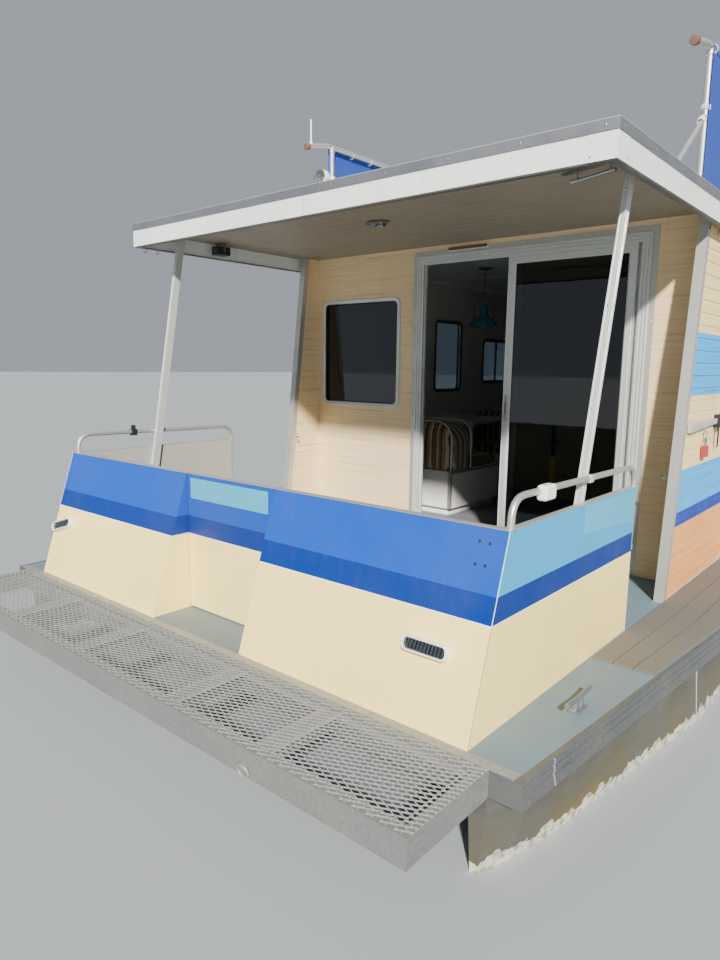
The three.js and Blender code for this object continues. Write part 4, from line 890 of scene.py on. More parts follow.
# %% Roof rails
ROOF_RAIL_Y, ROOF_RAIL_TOP, MIDDLE_TUBE_Z, TUBE = 1.380, 3.350, 2.620, 0.019
RAIL_END = (2.790, 3.300)
BRACE_FOOT_X = 3.110
POST_X = [2.530 - 1.380 * i for i in range(6)]
POST_FOOT = [(0, 0), (0.044, 0), (0.044, 0.006), (0.026, 0.010), (0.024, 0.030), (0, 0.030)]
roof_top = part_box("roof")[1].z
for side, sign in SIDES:
    y = sign * ROOF_RAIL_Y
    end = (RAIL_END[0], y, RAIL_END[1])
    rails = Shape().tube([end, (2.590, y, ROOF_RAIL_TOP), (POST_X[-1] - 0.03, y, ROOF_RAIL_TOP)], TUBE, 0.05, 20)
    rails.tube([(POST_X[0], y, MIDDLE_TUBE_Z), (POST_X[-1], y, MIDDLE_TUBE_Z)], 0.012)
    rails.tube([(POST_X[0], y, 3.010), (BRACE_FOOT_X, y, roof_top + 0.016)], 0.014)
    for x in POST_X:
        rails.tube([(x, y, roof_top + 0.001), (x, y, ROOF_RAIL_TOP)], TUBE, sides=20)
        for z in (MIDDLE_TUBE_Z, 3.332):
            rails.turned([(0.0215, -0.022), (0.0245, -0.019), (0.0245, 0.019), (0.0215, 0.022)], (x, y, z), sides=20)
        rails.turned(POST_FOOT, (x, y, roof_top))
    rails.turned([(0, 0), (0.030, 0), (0.030, 0.006), (0.018, 0.014), (0, 0.014)], (BRACE_FOOT_X, y, roof_top))
    rails.make(f"roof_rail_tubes_{side}", "rail_metal", stands_for=f"roof_rail_{side}")
    cap = Shape().turned([(0, -0.004), (0.022, -0.004), (0.0245, 0.002), (0.0245, 0.030), (0.021, 0.036), (0, 0.038)],
                         end, (0.97, 0, -0.24), 24)
    cap.make(f"rail_end_cap_{side}", "rust_plastic")
print("rails made, posts at", [round(x, 2) for x in POST_X])

# %% [markdown]
# ## Siding
# The cabin is clad in thin ribbed sheet. On the sides each rib is a shallow lap about 67 mm tall with a dark groove
# below it, and on the ends the grooves are finer and closer. `siding` draws such a skin over any wall: the heights
# where the profile turns, and the edges of the openings, make a grid, and the cells inside an opening are left out.
# It is a closed thin sheet, so its edges show their thickness where a window cuts it.

# %% Siding
CABIN_HALF = -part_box("wall_starboard")[0].y
CABIN_FRONT, _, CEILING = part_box("wall_front")[1]
CABIN_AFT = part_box("wall_port")[0].x
RIB_START = 0.409
LAPS = {"pitch": 0.067, "shape": [(0, 0.001), (0.004, 0.001), (0.0065, 0.0048), (0.0625, 0.003), (0.0665, 0.001)]}
GROOVES = {"pitch": 0.050, "shape": [(0, 0.0012), (0.0015, 0.0012), (0.0035, 0.003), (0.048, 0.003),
                                     (0.0495, 0.0012)]}


def wall_spot(wall, along, z, out):
    if wall == "front":
        return (CABIN_FRONT + out, along, z)
    if wall == "aft":
        return (CABIN_AFT - out, along, z)
    sign = 1 if wall == "port" else -1
    return (along, sign * (CABIN_HALF + out), z)


def rib_out(ribs, z):
    """How far a rib stands out at a height: straight lines between the turns of its profile."""
    place_in = (z - RIB_START) % ribs["pitch"]
    shape = ribs["shape"] + [(ribs["pitch"], ribs["shape"][0][1])]
    for (low, a), (high, b) in zip(shape, shape[1:]):
        if low <= place_in <= high:
            return a + (b - a) * (place_in - low) / (high - low)
    return shape[-1][1]


def siding(name, wall, along, upward, ribs, finish, holes=(), lean=0.0, body="hull", sunk=0.0):
    """Along and upward are (low, high). Holes are (along low, along high, bottom, top). Lean tips the high edge."""
    first = int((upward[0] - RIB_START) / ribs["pitch"]) - 1
    turns = [RIB_START + n * ribs["pitch"] + rise for n in range(first, first + 50) for rise, _ in ribs["shape"]]
    heights = sorted({*upward, *(z for hole in holes for z in hole[2:])}
                     | {z for z in turns if upward[0] < z < upward[1]})
    columns = sorted({*along, *(u for hole in holes for u in hole[:2])})
    points = []
    for behind in (False, True):
        for z in heights:
            out = 0.0002 if behind else rib_out(ribs, z)
            points += [wall_spot(wall, u + (lean * (z - upward[0]) if u == along[1] else 0), z, out - sunk)
                       for u in columns]
    wide, layer = len(columns), len(columns) * len(heights)

    def open_at(i, j):
        u, z = (columns[j] + columns[j + 1]) / 2, (heights[i] + heights[i + 1]) / 2
        return any(a < u < b and c < z < d for a, b, c, d in holes)

    cells = {(i, j) for i in range(len(heights) - 1) for j in range(wide - 1) if not open_at(i, j)}
    faces = []
    for i, j in cells:
        a, b, c, d = i * wide + j, i * wide + j + 1, (i + 1) * wide + j + 1, (i + 1) * wide + j
        faces += [(a, b, c, d), (d + layer, c + layer, b + layer, a + layer)]
        for beside, (p, q) in (((i - 1, j), (a, b)), ((i, j + 1), (b, c)), ((i + 1, j), (c, d)), ((i, j - 1), (d, a))):
            if beside not in cells:
                faces.append((q, p, p + layer, q + layer))
    return Shape().add(points, faces).make(name, finish, body, crease=20)


print("ribs:", LAPS["pitch"], "m on the sides,", GROOVES["pitch"], "m on the ends")

# %% Openings and cladding
# Columns: name, wall, centre along the wall, height of its centre, width, height, upright bars
WINDOWS = [
    ("window_front", "front", -1.018, 1.750, 0.795, 0.830, 0),
    ("window_port_mid", "port", -0.200, 1.720, 1.000, 0.500, 1),
    ("window_port_aft", "port", -2.500, 1.720, 1.000, 0.500, 1),
    ("window_starboard_fore", "starboard", 0.650, 1.760, 0.520, 0.740, 0),
    ("window_starboard_mid", "starboard", -0.380, 1.720, 0.700, 0.500, 1),
    ("window_starboard_aft", "starboard", -2.500, 1.720, 1.000, 0.500, 1),
    ("window_aft", "aft", -0.700, 1.720, 0.800, 0.500, 1),
]
LAP = 0.021
SIDE_DOOR = (1.620, 2.300, 0.438, 2.302)
AFT_DOOR = (0.200, 0.880, 0.438, 2.302)
PATIO = (-0.470, 1.180, 0.400, 2.430)


def cut_for(along, z, width, height):
    """The hole for a window, a little smaller than its ring."""
    return (along - width / 2 + LAP, along + width / 2 - LAP, z - height / 2 + LAP, z + height / 2 - LAP)


def widened(opening, margin):
    a, b, c, d = opening
    return (a - margin, b + margin, c - margin, d + margin)


TRIM_FOOT, TRIM_HEAD, TRIM_WIDE = 2.990, 2.745, 0.0455
WING_LEAN = (TRIM_HEAD - TRIM_FOOT) / (CEILING - DECK)
WING_FOOT, WING_HEAD = TRIM_FOOT - TRIM_WIDE, TRIM_HEAD - TRIM_WIDE
# Columns: wall, its ends, foot above the deck, ribs, finish, lean of the forward end, doorway
CLADDING = [
    ("port", (CABIN_AFT, WING_FOOT), 0.009, LAPS, "cabin_paint", WING_LEAN, [widened(SIDE_DOOR, 0.008)]),
    ("starboard", (CABIN_AFT, WING_FOOT), 0.009, LAPS, "cabin_paint", WING_LEAN, []),
    ("front", (-1.464, 1.464), 0.001, GROOVES, "front_siding", 0,
     [(PATIO[0] + 0.001, PATIO[1] - 0.001, 0.3, PATIO[3] - 0.001)]),
    ("aft", (-1.505, 1.505), 0.001, GROOVES, "front_siding", 0, [widened(AFT_DOOR, 0.008)]),
]
for wall, ends, foot, ribs, finish, lean, doorway in CLADDING:
    cuts = [cut_for(*sizes) for _, where, *sizes, _ in WINDOWS if where == wall]
    siding(f"siding_{wall}", wall, ends, (DECK + foot, CEILING - 0.001), ribs, finish, cuts + doorway, lean)
wing_foot_z, wing_head_z, wing_aft = DECK + 0.001, CEILING - 0.001, CABIN_FRONT + 0.0032
WING = [(wing_aft, wing_foot_z), (WING_FOOT, wing_foot_z), (WING_HEAD, wing_head_z), (wing_aft, wing_head_z)]
for side, sign in SIDES:
    lining = Shape().prism(WING, "Y", sign * (CABIN_HALF - 0.0403), sign * (CABIN_HALF - 0.042))
    lining.make(f"wing_lining_{side}", "front_siding")
print("siding on walls:", len(CLADDING))

# %% [markdown]
# ## Windows
# A boat window is a rounded aluminium ring clamped through the wall, a black rubber gasket and a tinted pane. The
# ring is one profile swept round a rounded rectangle, drawn in the wall's own directions and then placed by a
# matrix. Wide windows slide, so they have an upright bar where the two panes lap.

# %% Windows
# Columns: the direction along a wall and the one out of it
DIRECTIONS = {
    "front": ((0, 1, 0), (1, 0, 0)),
    "port": ((-1, 0, 0), (0, 1, 0)),
    "starboard": ((1, 0, 0), (0, -1, 0)),
    "aft": ((0, -1, 0), (-1, 0, 0)),
}
RING = [(0, 0.0003), (0, 0.0085), (0.0025, 0.0118), (0.016, 0.012), (0.019, 0.010), (0.0235, 0.010),
        (0.026, 0.0085), (0.030, 0.0065), (0.030, -0.038), (0.0206, -0.038), (0.0206, 0.0003)]
GASKET = [(0.0301, 0.0050), (0.0330, 0.0042), (0.0365, 0.0), (0.0365, -0.013), (0.0301, -0.013)]
INNER_TRIM = [(0.006, -0.0403), (0.006, -0.0455), (0.034, -0.0455), (0.036, -0.0400), (0.0302, -0.0385)]
CORNER = 0.065


def on_wall(wall, along, z, out=0.0):
    """A matrix from (across, up, out) at a place on a wall's outside face to the boat."""
    across, outward = DIRECTIONS[wall]
    turn = Matrix((across, (0, 0, 1), outward)).transposed().to_4x4()
    return Matrix.Translation(wall_spot(wall, along, z, out)) @ turn


def window(name, seat, width, height, bars=0, body="hull", stands_for=None):
    ring, rubber, inner = (Shape().ring(width, height, CORNER, profile) for profile in (RING, GASKET, INNER_TRIM))
    if bars:
        ring.box((-0.014, -height / 2 + 0.030, -0.008), (0.014, height / 2 - 0.030, 0.003))
        rubber.box((-0.0165, -height / 2 + 0.031, -0.012), (0.0165, height / 2 - 0.031, -0.0081))
    ring.moved(seat).make(name + "_ring", "frame_metal", body, bevel=0.0004, stands_for=stands_for)
    rubber.moved(seat).make(name + "_gasket", "black_plastic", body)
    inner.moved(seat).make(name + "_inner_trim", "dark_metal", body)
    pane = Shape().prism(rounded(width - 0.062, height - 0.062, 0.018), "Z", -0.020, -0.014)
    pane.moved(seat).make(name + "_pane", "tinted_glass", body)


for name, wall, along, z, width, height, bars in WINDOWS:
    window(name, on_wall(wall, along, z), width, height, bars, stands_for=name)
print("windows:", len(WINDOWS))

# %% [markdown]
# ## Side door and aft door
# Each door is a leaf with the same siding as its wall, so the ribs run across it and only a dark seam shows where
# it ends. The leaf is pierced for its window. Leaf, window, lever and the door's own hinge leaves all ride on the
# door's body, while the pins and fixed leaves stay with the wall. The aft door has a lever, the side door a bar.

# %% Side door and aft door
LEAF, SUNK = 0.036, 0.002
HINGE_Z, KNUCKLE, PIN_OUT = (0.700, 1.900), 0.080, 0.008


def pierced(outer, inner, low, high):
    """A plate in (across, up, out) with one opening: two outlines with the same number of points."""
    loops = [(outer, low), (outer, high), (inner, high), (inner, low)]
    return Shape().loft([[(a, b, out) for a, b in outline] for outline, out in loops], closed=True)


def door(name, wall, leaf, glazed, ribs, finish):
    """Leaf is (low, high, bottom, top) and glazed is the window's (along, z, width, height)."""
    along, z = (leaf[0] + leaf[1]) / 2, (leaf[2] + leaf[3]) / 2
    glass_at, glass_z, width, height = glazed
    hole = shifted(rounded(width - 0.041, height - 0.041, 0.03), along - glass_at, glass_z - z)
    edge = rounded(leaf[1] - leaf[0], leaf[3] - leaf[2], 0.0025)
    core = pierced(edge, hole, -LEAF, 0).moved(on_wall(wall, along, z, -SUNK))
    core.make(f"{name}_leaf", "wall_board", name, stands_for=name)
    skin = widened(leaf, -0.0005)
    siding(f"{name}_siding", wall, skin[:2], skin[2:], ribs, finish, [cut_for(*glazed)], body=name, sunk=SUNK)
    window(f"{name}_window", on_wall(wall, glass_at, glass_z, -SUNK), width, height, body=name)


door("side_door", "port", SIDE_DOOR, (1.960, 1.670, 0.440, 0.640), LAPS, "cabin_paint")
door("aft_door", "aft", AFT_DOOR, (0.540, 1.700, 0.440, 0.560), GROOVES, "front_siding")

handle = Shape().prism(shifted(rounded(0.044, 0.150, 0.008), -0.050, 0.013), "Z", 0.005, 0.0105)
handle.turned([(0, 0.0105), (0.013, 0.0105), (0.011, 0.024), (0.0105, 0.0345), (0, 0.0345)], (-0.051, 0.013, 0))
handle.tube([(-0.051, 0.013, 0.029), (-0.168, 0.013, 0.029)], 0.0068, sides=14)
handle.turned([(0, -0.007), (0.0068, -0.005), (0.0068, 0), (0, 0)], (-0.168, 0.013, 0.029), (1, 0, 0), 14)
handle.moved(on_wall("aft", AFT_DOOR[0], 1.330, -SUNK)).make("aft_door_lever", "chrome", "aft_door")
print("doors: side and aft")

# %% Hinges
def hinges(name, wall, pin_along, moving_side):
    """A wall-side pair of plates with the pin, and the door's plate with its sleeve, at each height."""
    third = KNUCKLE / 3
    fixed = (Shape(), -moving_side, 0.0345, 0.0085, [(0, third), (2 * third, KNUCKLE)])
    moving = (Shape(), moving_side, 0.0405, 0.0088, [(third + 0.001, 2 * third - 0.001)])
    for z in HINGE_Z:
        pin = wall_spot(wall, pin_along, z, PIN_OUT)
        for shape, side, reach, radius, spans in (fixed, moving):
            for bottom, top in spans:
                shape.box(wall_spot(wall, pin_along + side * 0.003, z + bottom, 0.0052),
                          wall_spot(wall, pin_along + side * reach, z + top, PIN_OUT + 0.0003))
                shape.disc(radius, bottom, top, pin, sides=16)
    fixed[0].make(f"{name}_hinge_fixed", "frame_metal", "hull", bevel=0.0005)
    moving[0].make(f"{name}_hinge_moving", "frame_metal", name, bevel=0.0005)


hinges("side_door", "port", SIDE_DOOR[0] - 0.004, 1)
hinges("aft_door", "aft", AFT_DOOR[1] + 0.004, -1)
print("hinges at", HINGE_Z, "m")

# %% [markdown]
# ## Sliding patio door
# The wide door is three extrusions deep: a frame with ridges and tracks, a fixed panel inside and a sliding panel
# outside, which stands open over the fixed one. A path with mitred corners sweeps the frame's profile up one side,
# over the head and down the other. Each panel is a mitred ring too, with a black gasket and a dark pane.

# %% Sliding patio door
JAMB_PROFILE = [(0.0003, -0.0515), (0.0003, 0.0105), (0.003, 0.0139), (0.013, 0.0139), (0.015, 0.0075),
                (0.0215, 0.0075), (0.0235, 0.0125), (0.034, 0.0125), (0.036, 0.006), (0.042, 0.006),
                (0.044, 0.012), (0.058, 0.012), (0.058, 0.0095), (0.05, 0.0085), (0.05, -0.0195),
                (0.06, -0.02), (0.06, -0.0222), (0.05, -0.0228), (0.05, -0.0515)]
SILL_PROFILE = [(-0.0515, 0.0003), (-0.0515, 0.03), (-0.0228, 0.03), (-0.0222, 0.033), (-0.0205, 0.033),
                (-0.02, 0.03), (0.0075, 0.0295), (0.008, 0.033), (0.01, 0.033), (0.0139, 0.02), (0.0139, 0.0003)]
FLANGE_PROFILE = [(-0.034, 0.0031), (-0.034, 0.0046), (-0.002, 0.0056), (0.0002, 0.0056), (0.0002, 0.0031)]
PANEL_PROFILE = [(0, 0), (0, 0.022), (0.004, 0.022), (0.006, 0.0205), (0.012, 0.0205), (0.014, 0.022), (0.046, 0.022),
                 (0.05, 0.019), (0.054, 0.014), (0.054, 0.008), (0.05, 0.003), (0.046, 0)]
PANEL_GASKET = [(0.0542, 0.015), (0.058, 0.0145), (0.06, 0.012), (0.06, 0.01), (0.058, 0.0075), (0.0542, 0.007)]
BASE_EXTRA = 0.015
FLANGE_SCREW_OUT = 0.0045


def portal(opening, foot, profile):
    """A profile of (inset, out) swept up one side of an opening, across its head and down the other."""
    low, high, _, top = opening
    stations = [(low, foot, 1, 0), (low, top, 1, -1), (high, top, -1, -1), (high, foot, -1, 0)]
    return Shape().loft([[wall_spot("front", y + inset * a, z + inset * b, out) for inset, out in profile]
                         for y, z, a, b in stations])


jambs = portal(PATIO, DECK + 0.0005, JAMB_PROFILE)
jambs.prism(shifted(SILL_PROFILE, CABIN_FRONT, DECK), "Y", PATIO[0] + 0.050, PATIO[1] - 0.050)
jambs.make("patio_frame_ridged", "frame_metal", bevel=0.0005, stands_for="patio_frame")
portal(PATIO, DECK + 0.009, FLANGE_PROFILE).make("patio_flange", "trim_metal", bevel=0.0004)
for ends in ([(PATIO[0] - 0.018, 0.50), (PATIO[0] - 0.018, 2.40)], [(PATIO[1] + 0.018, 0.50), (PATIO[1] + 0.018, 2.40)],
             [(PATIO[0], 2.448), (PATIO[1], 2.448)]):
    start, end = (wall_spot("front", y, z, FLANGE_SCREW_OUT) for y, z in ends)
    screw(start, (1, 0, 0), end, 0.16)


print("patio frame", round(PATIO[1] - PATIO[0], 2), "m wide")

# %% Patio panels
def sliding_frame(name, stands_for, body):
    """A mitred ring whose base rail is taller than its stiles, with gasket and pane."""
    (back, low, bottom), (_, high, top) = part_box(stands_for)

    def sweep(profile):
        sections = []
        for inset, out in profile:
            foot = bottom + inset * (1 + BASE_EXTRA / 0.054)
            near, far, head = low + inset, high - inset, top - inset
            sections.append([(back + out, y, z) for y, z in ((near, foot), (far, foot), (far, head), (near, head))])
        return Shape().loft(sections, closed=True)

    sweep(PANEL_PROFILE).make(name + "_frame", "frame_metal", body, bevel=0.0005, stands_for=stands_for)
    sweep(PANEL_GASKET).make(name + "_gasket", "black_plastic", body)
    pane = Shape().box((back + 0.008, low + 0.051, bottom + 0.064), (back + 0.0139, high - 0.051, top - 0.051))
    pane.make(name + "_pane", "tinted_glass", body)


sliding_frame("patio_fixed", "patio_fixed_panel", "hull")
sliding_frame("patio_slider", "patio_sliding_panel", "patio_slider")
print("patio panels: fixed and sliding")

# %% Patio pull and latch
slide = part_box("patio_sliding_panel")[0]
PULL_Y, PULL_Z = slide.y + 0.024, 1.380
pull = Shape()
pull.prism(shifted(rounded(0.030, 0.240, 0.008), PULL_Y, PULL_Z), "X", slide.x + 0.0205, slide.x + 0.0245)


def on_pull(shape, x_low, x_high, y_low, y_high, half):
    """A box on the pull: out from the panel, and across and up from the pull's middle."""
    return shape.box((slide.x + x_low, PULL_Y + y_low, PULL_Z - half),
                     (slide.x + x_high, PULL_Y + y_high, PULL_Z + half))


for y in (-0.0095, 0.0095):
    on_pull(pull, 0.0245, 0.033, y - 0.0018, y + 0.0018, 0.090)
on_pull(pull, 0.030, 0.0375, -0.0095, -0.003, 0.090).make("patio_pull", "frame_metal", "patio_slider", bevel=0.0012)
latch = on_pull(Shape(), 0.0246, 0.0285, -0.002, 0.0075, 0.045)
latch.make("patio_latch", "dark_metal", "patio_slider", bevel=0.001)
print("pull at", PULL_Z, "m")

# %% [markdown]
# ## Under the roof
# The underside of the roof is boarded. Each board runs across the boat with a V-groove at its joint, so one outline
# with the grooves in it, pulled from side to side, makes a whole stretch. A dark seal shows under the white fascia,
# and a small moulding covers the joint where the boards meet the front wall.

# %% Under the roof
roof_low, roof_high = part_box("roof")
fascia_low, fascia_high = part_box("roof_fascia")
FASCIA, BOARD = 0.020, 0.100
BOARD_LOW, BOARD_HIGH = CEILING - 0.0042, CEILING - 0.0003
inside_half = roof_high.y - FASCIA - 0.0005
front_face = CABIN_FRONT + 0.0033


def boarding(name, aft, fore):
    outline = [(aft, BOARD_LOW)]
    for n in range(1, int((fore - aft) / BOARD)):
        joint = fore - n * BOARD
        outline[1:1] = [(joint - 0.003, BOARD_LOW), (joint, BOARD_LOW + 0.0026), (joint + 0.003, BOARD_LOW)]
    outline += [(fore, BOARD_LOW), (fore, BOARD_HIGH), (aft, BOARD_HIGH)]
    Shape().prism(outline, "Y", -inside_half, inside_half).make(name, "soffit_board", crease=15)


boarding("soffit_front", front_face, roof_high.x - FASCIA - 0.0005)
boarding("soffit_aft", roof_low.x + FASCIA + 0.0005, CABIN_AFT - 0.0035)
for side, sign in SIDES:
    strip = Shape().box((CABIN_AFT - 0.003, sign * (CABIN_HALF + 0.0055), BOARD_LOW),
                        (front_face - 0.0005, sign * inside_half, BOARD_HIGH))
    strip.make(f"soffit_strip_{side}", "soffit_board")


def roof_outline(inset):
    return [(roof_low.x + inset, roof_low.y + inset), (roof_high.x - inset, roof_low.y + inset),
            (roof_high.x - inset, roof_high.y - inset), (roof_low.x + inset, roof_high.y - inset)]


seal = pierced(roof_outline(0.004), roof_outline(0.034), fascia_low.z - 0.0060, fascia_low.z - 0.0003)
seal.make("fascia_seal", "dark_metal", bevel=0.001)
quarter = [(0, 0), (0.007, 0), (0.0065, -0.003), (0.0045, -0.006), (0.002, -0.0075), (0, -0.008)]
moulding = Shape().prism(shifted(quarter, front_face, BOARD_LOW - 0.0002), "Y", -1.463, 1.463)
moulding.make("wall_moulding", "front_siding")
print("boards under the roof every", BOARD, "m")

# %% [markdown]
# ## Fascia and drip edge
# The fascia sheets are capped at each corner and lap at a seam every few metres. The drip edge above is screwed
# down, and its top edge catches the sun as a thin bright line. On top, sealed strips cover the roof's own joints.

# %% Fascia and drip edge
CAP, CAP_PLY, SEAM_HALF, SEAM_PLY = 0.110, 0.0014, 0.0008, 0.0007
JOINTS, JOINT_PITCH = 7, 1.220
caps = Shape()
for x, along in ((roof_high.x, -1), (roof_low.x, 1)):
    for y, across in ((roof_high.y, -1), (roof_low.y, 1)):
        face_x, face_y, end_x, end_y = x - along * CAP_PLY, y - across * CAP_PLY, x + along * CAP, y + across * CAP
        elbow = [(face_x, face_y), (end_x, face_y), (end_x, y), (x, y), (x, end_y), (face_x, end_y)]
        caps.prism(elbow, "Z", fascia_low.z - 0.001, fascia_high.z - 0.0005)
        screw((end_x - along * 0.010, face_y, fascia_low.z + 0.018), (0, -across, 0))
        screw((face_x, end_y - across * 0.010, fascia_low.z + 0.018), (-along, 0, 0))
caps.make("fascia_corner_caps", "roof_white", bevel=0.0006)
seams, seam_top = Shape(), fascia_high.z - 0.001
for x, out in ((roof_high.x, SEAM_PLY), (roof_low.x, -SEAM_PLY)):
    seams.box((x, -0.020 - SEAM_HALF, fascia_low.z), (x + out, -0.020 + SEAM_HALF, seam_top))
for x in (1.800, -0.640, -3.080):
    for _, sign in SIDES:
        seams.box((x - SEAM_HALF, sign * roof_high.y, fascia_low.z),
                  (x + SEAM_HALF, sign * (roof_high.y + SEAM_PLY), seam_top))
seams.make("fascia_seams", "black_plastic")
drip_low, drip_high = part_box("roof_drip_edge")
drip_z = (CEILING + drip_high.z) / 2
for start, end, facing in (
    ((drip_high.x, 1.52), (drip_high.x, -1.52), (1, 0, 0)),
    ((drip_low.x, 1.52), (drip_low.x, -1.52), (-1, 0, 0)),
    ((4.16, drip_high.y), (-4.65, drip_high.y), (0, 1, 0)),
    ((4.16, drip_low.y), (-4.65, drip_low.y), (0, -1, 0)),
):
    screw((*start, drip_z), facing, (*end, drip_z), 0.35)
bead = [(x, y, drip_high.z + 0.0004) for x, y in roof_outline(-0.0024)]
Shape().tube(bead, 0.0030, sides=8, closed=True).make("drip_bead", "trim_metal")
strips, strip_half = Shape(), roof_high.y - 0.034
for n in range(JOINTS):
    x = roof_high.x - 0.9 - n * JOINT_PITCH
    strips.box((x - 0.030, -strip_half, roof_high.z), (x + 0.030, strip_half, roof_high.z + 0.0022))
strips.make("roof_joint_strips", "roof_white", bevel=0.001)
print("fascia caps: 4, roof joints:", JOINTS)

# %% [markdown]
# ## Roof posts
# Each post is a drawn channel that leans aft from the bulwark to the roof, and the two lean unequally. The section
# has a ridge down the wide face and a groove down the narrow one, and the loft between foot and head carries them the
# whole way. The head is held by a dark bent bracket that is narrower than the post.

# %% Roof posts
POST_SPANS = {"port": (4.105, 3.745), "starboard": (4.190, 3.920)}
POST_FOOT_Z, POST_HEAD_Z = 0.950, CEILING - 0.0003
POST_SECTION = [(-0.025, 0), (-0.025, 0.024), (-0.013, 0.024), (-0.012, 0.0224), (-0.003, 0.0224), (-0.002, 0.024),
                (0.002, 0.024), (0.003, 0.0224), (0.012, 0.0224), (0.013, 0.024), (0.025, 0.024), (0.025, 0.018),
                (0.0234, 0.017), (0.0234, 0.007), (0.025, 0.006), (0.025, 0)]
SLEEVE_FROM = 0.980
POST_SCREWS = (0.02, 0.09, 0.35, 0.62, 0.93)


def on_post(side, share):
    """The point on a post's centre line at a share of the way from its foot to its head."""
    foot_x, head_x = POST_SPANS[side]
    return Vector((foot_x, 0, POST_FOOT_Z)).lerp(Vector((head_x, 0, POST_HEAD_Z)), share)


for side, sign in SIDES:
    inner, outer = sorted(abs(c.y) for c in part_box(f"roof_post_{side}"))
    ends = [on_post(side, share) for share in (0, SLEEVE_FROM)]
    post = Shape().loft([[(end.x + a, sign * (inner + b), end.z) for a, b in POST_SECTION] for end in ends])
    post.make(f"roof_post_channel_{side}", "frame_metal", bevel=0.0006, crease=30, stands_for=f"roof_post_{side}")
    middle = sign * (inner + outer) / 2
    ends = [on_post(side, share) for share in (SLEEVE_FROM - 0.03, 1)]
    section = rounded(0.036, 0.016, 0.004, 2)
    bracket = Shape().loft([[(end.x + a, middle + b, end.z) for a, b in section] for end in ends])
    head_x = ends[1].x
    bracket.box((head_x - 0.045, middle - 0.026, CEILING - 0.0085), (head_x + 0.045, middle + 0.026, BOARD_LOW))
    bracket.make(f"post_head_bracket_{side}", "dark_metal", bevel=0.001)
    for spot in (on_post(side, share) for share in POST_SCREWS):
        screw((spot.x + 0.0234, middle, spot.z), (1, 0, 0.20))
        screw((spot.x - 0.0075, sign * (outer - 0.0016), spot.z), (0, sign, 0))
print("roof posts: 2")

# %% [markdown]
# ## Lamps and hooks under the roof
# The dome lamp is an oval base with a clear lens and a bulb bar, kept to the shape of its plain solid. A smoked bar
# lamp sits over the door, a black box lamp hangs in the starboard corner, and a rod holder in the port one.

# %% Lamps and hooks under the roof
dome_low, dome_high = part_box("dome_lamp")
dome_x, dome_y = (dome_low.x + dome_high.x) / 2, (dome_low.y + dome_high.y) / 2
half_x, half_y = (dome_high.x - dome_low.x) / 2, (dome_high.y - dome_low.y) / 2
DOME_BASE = [(0.92, 0), (0.995, 0.002), (0.99, 0.009), (0.90, 0.013), (0.80, 0.0135), (0.78, 0.010), (0.3, 0.010)]
DOME_LENS = [(0.30, 0.0105), (0.775, 0.0105), (0.77, 0.020), (0.66, 0.029), (0.45, 0.035), (0.2, 0.0368),
             (0.02, 0.037)]


def oval(profile):
    """Rings of (share of the lamp's half size, drop), squeezed to the lamp's oval with pointed ends."""
    sections = []
    for share, drop in profile:
        reaches = [(share * (1 - 0.10 * abs(math.sin(2 * angle))), angle) for angle in around(40)]
        sections.append([(dome_x + half_x * reach * math.cos(angle), dome_y + half_y * reach * math.sin(angle),
                          BOARD_LOW - drop) for reach, angle in reaches])
    return Shape().loft(sections)


oval(DOME_BASE).make("dome_lamp_base", "bronze_plastic", crease=40, stands_for="dome_lamp")
oval(DOME_LENS).make("dome_lamp_lens", "lamp_lens", crease=40)
bulb_z = BOARD_LOW - 0.018
filament = Shape().tube([(dome_x, dome_y - 0.035, bulb_z), (dome_x, dome_y + 0.035, bulb_z)], 0.007)
filament.make("dome_lamp_bulb", "lamp_plastic")
print("dome lamp", round(2 * half_y, 3), "m across")

# %% Door lamp and box lamp
BAR_Z, BAR_LOW, BAR_HIGH = 2.4575, -0.210, 0.110
bar = Shape().box((CABIN_FRONT + 0.006, BAR_LOW, BAR_Z - 0.015), (CABIN_FRONT + 0.012, BAR_HIGH, BAR_Z + 0.0125))
bar.make("door_lamp_base", "lamp_plastic", bevel=0.002)
bar_lens = shifted(rounded(BAR_HIGH - BAR_LOW - 0.016, 0.020, 0.009), (BAR_LOW + BAR_HIGH) / 2, BAR_Z - 0.001)
bar_lens = Shape().prism(bar_lens, "X", CABIN_FRONT + 0.0122, CABIN_FRONT + 0.026)
bar_lens.make("door_lamp_lens", "bronze_plastic", bevel=0.004)

Shape().box((3.525, -1.505, 2.408), (3.635, -1.430, 2.466)).make("box_lamp", "black_plastic", bevel=0.006)
Shape().box((3.6355, -1.496, 2.416), (3.6385, -1.439, 2.458)).make("box_lamp_lens", "lamp_lens", bevel=0.0012)
yoke = Shape().box((3.565, -1.510, BOARD_LOW - 0.0025), (3.595, -1.425, BOARD_LOW))
for low, high in ((-1.4290, -1.4265), (-1.5085, -1.5060)):
    yoke.box((3.572, low, 2.430), (3.588, high, BOARD_LOW))
yoke.make("box_lamp_yoke", "dark_metal", bevel=0.0005)
print("door lamp", round(BAR_HIGH - BAR_LOW, 2), "m wide")

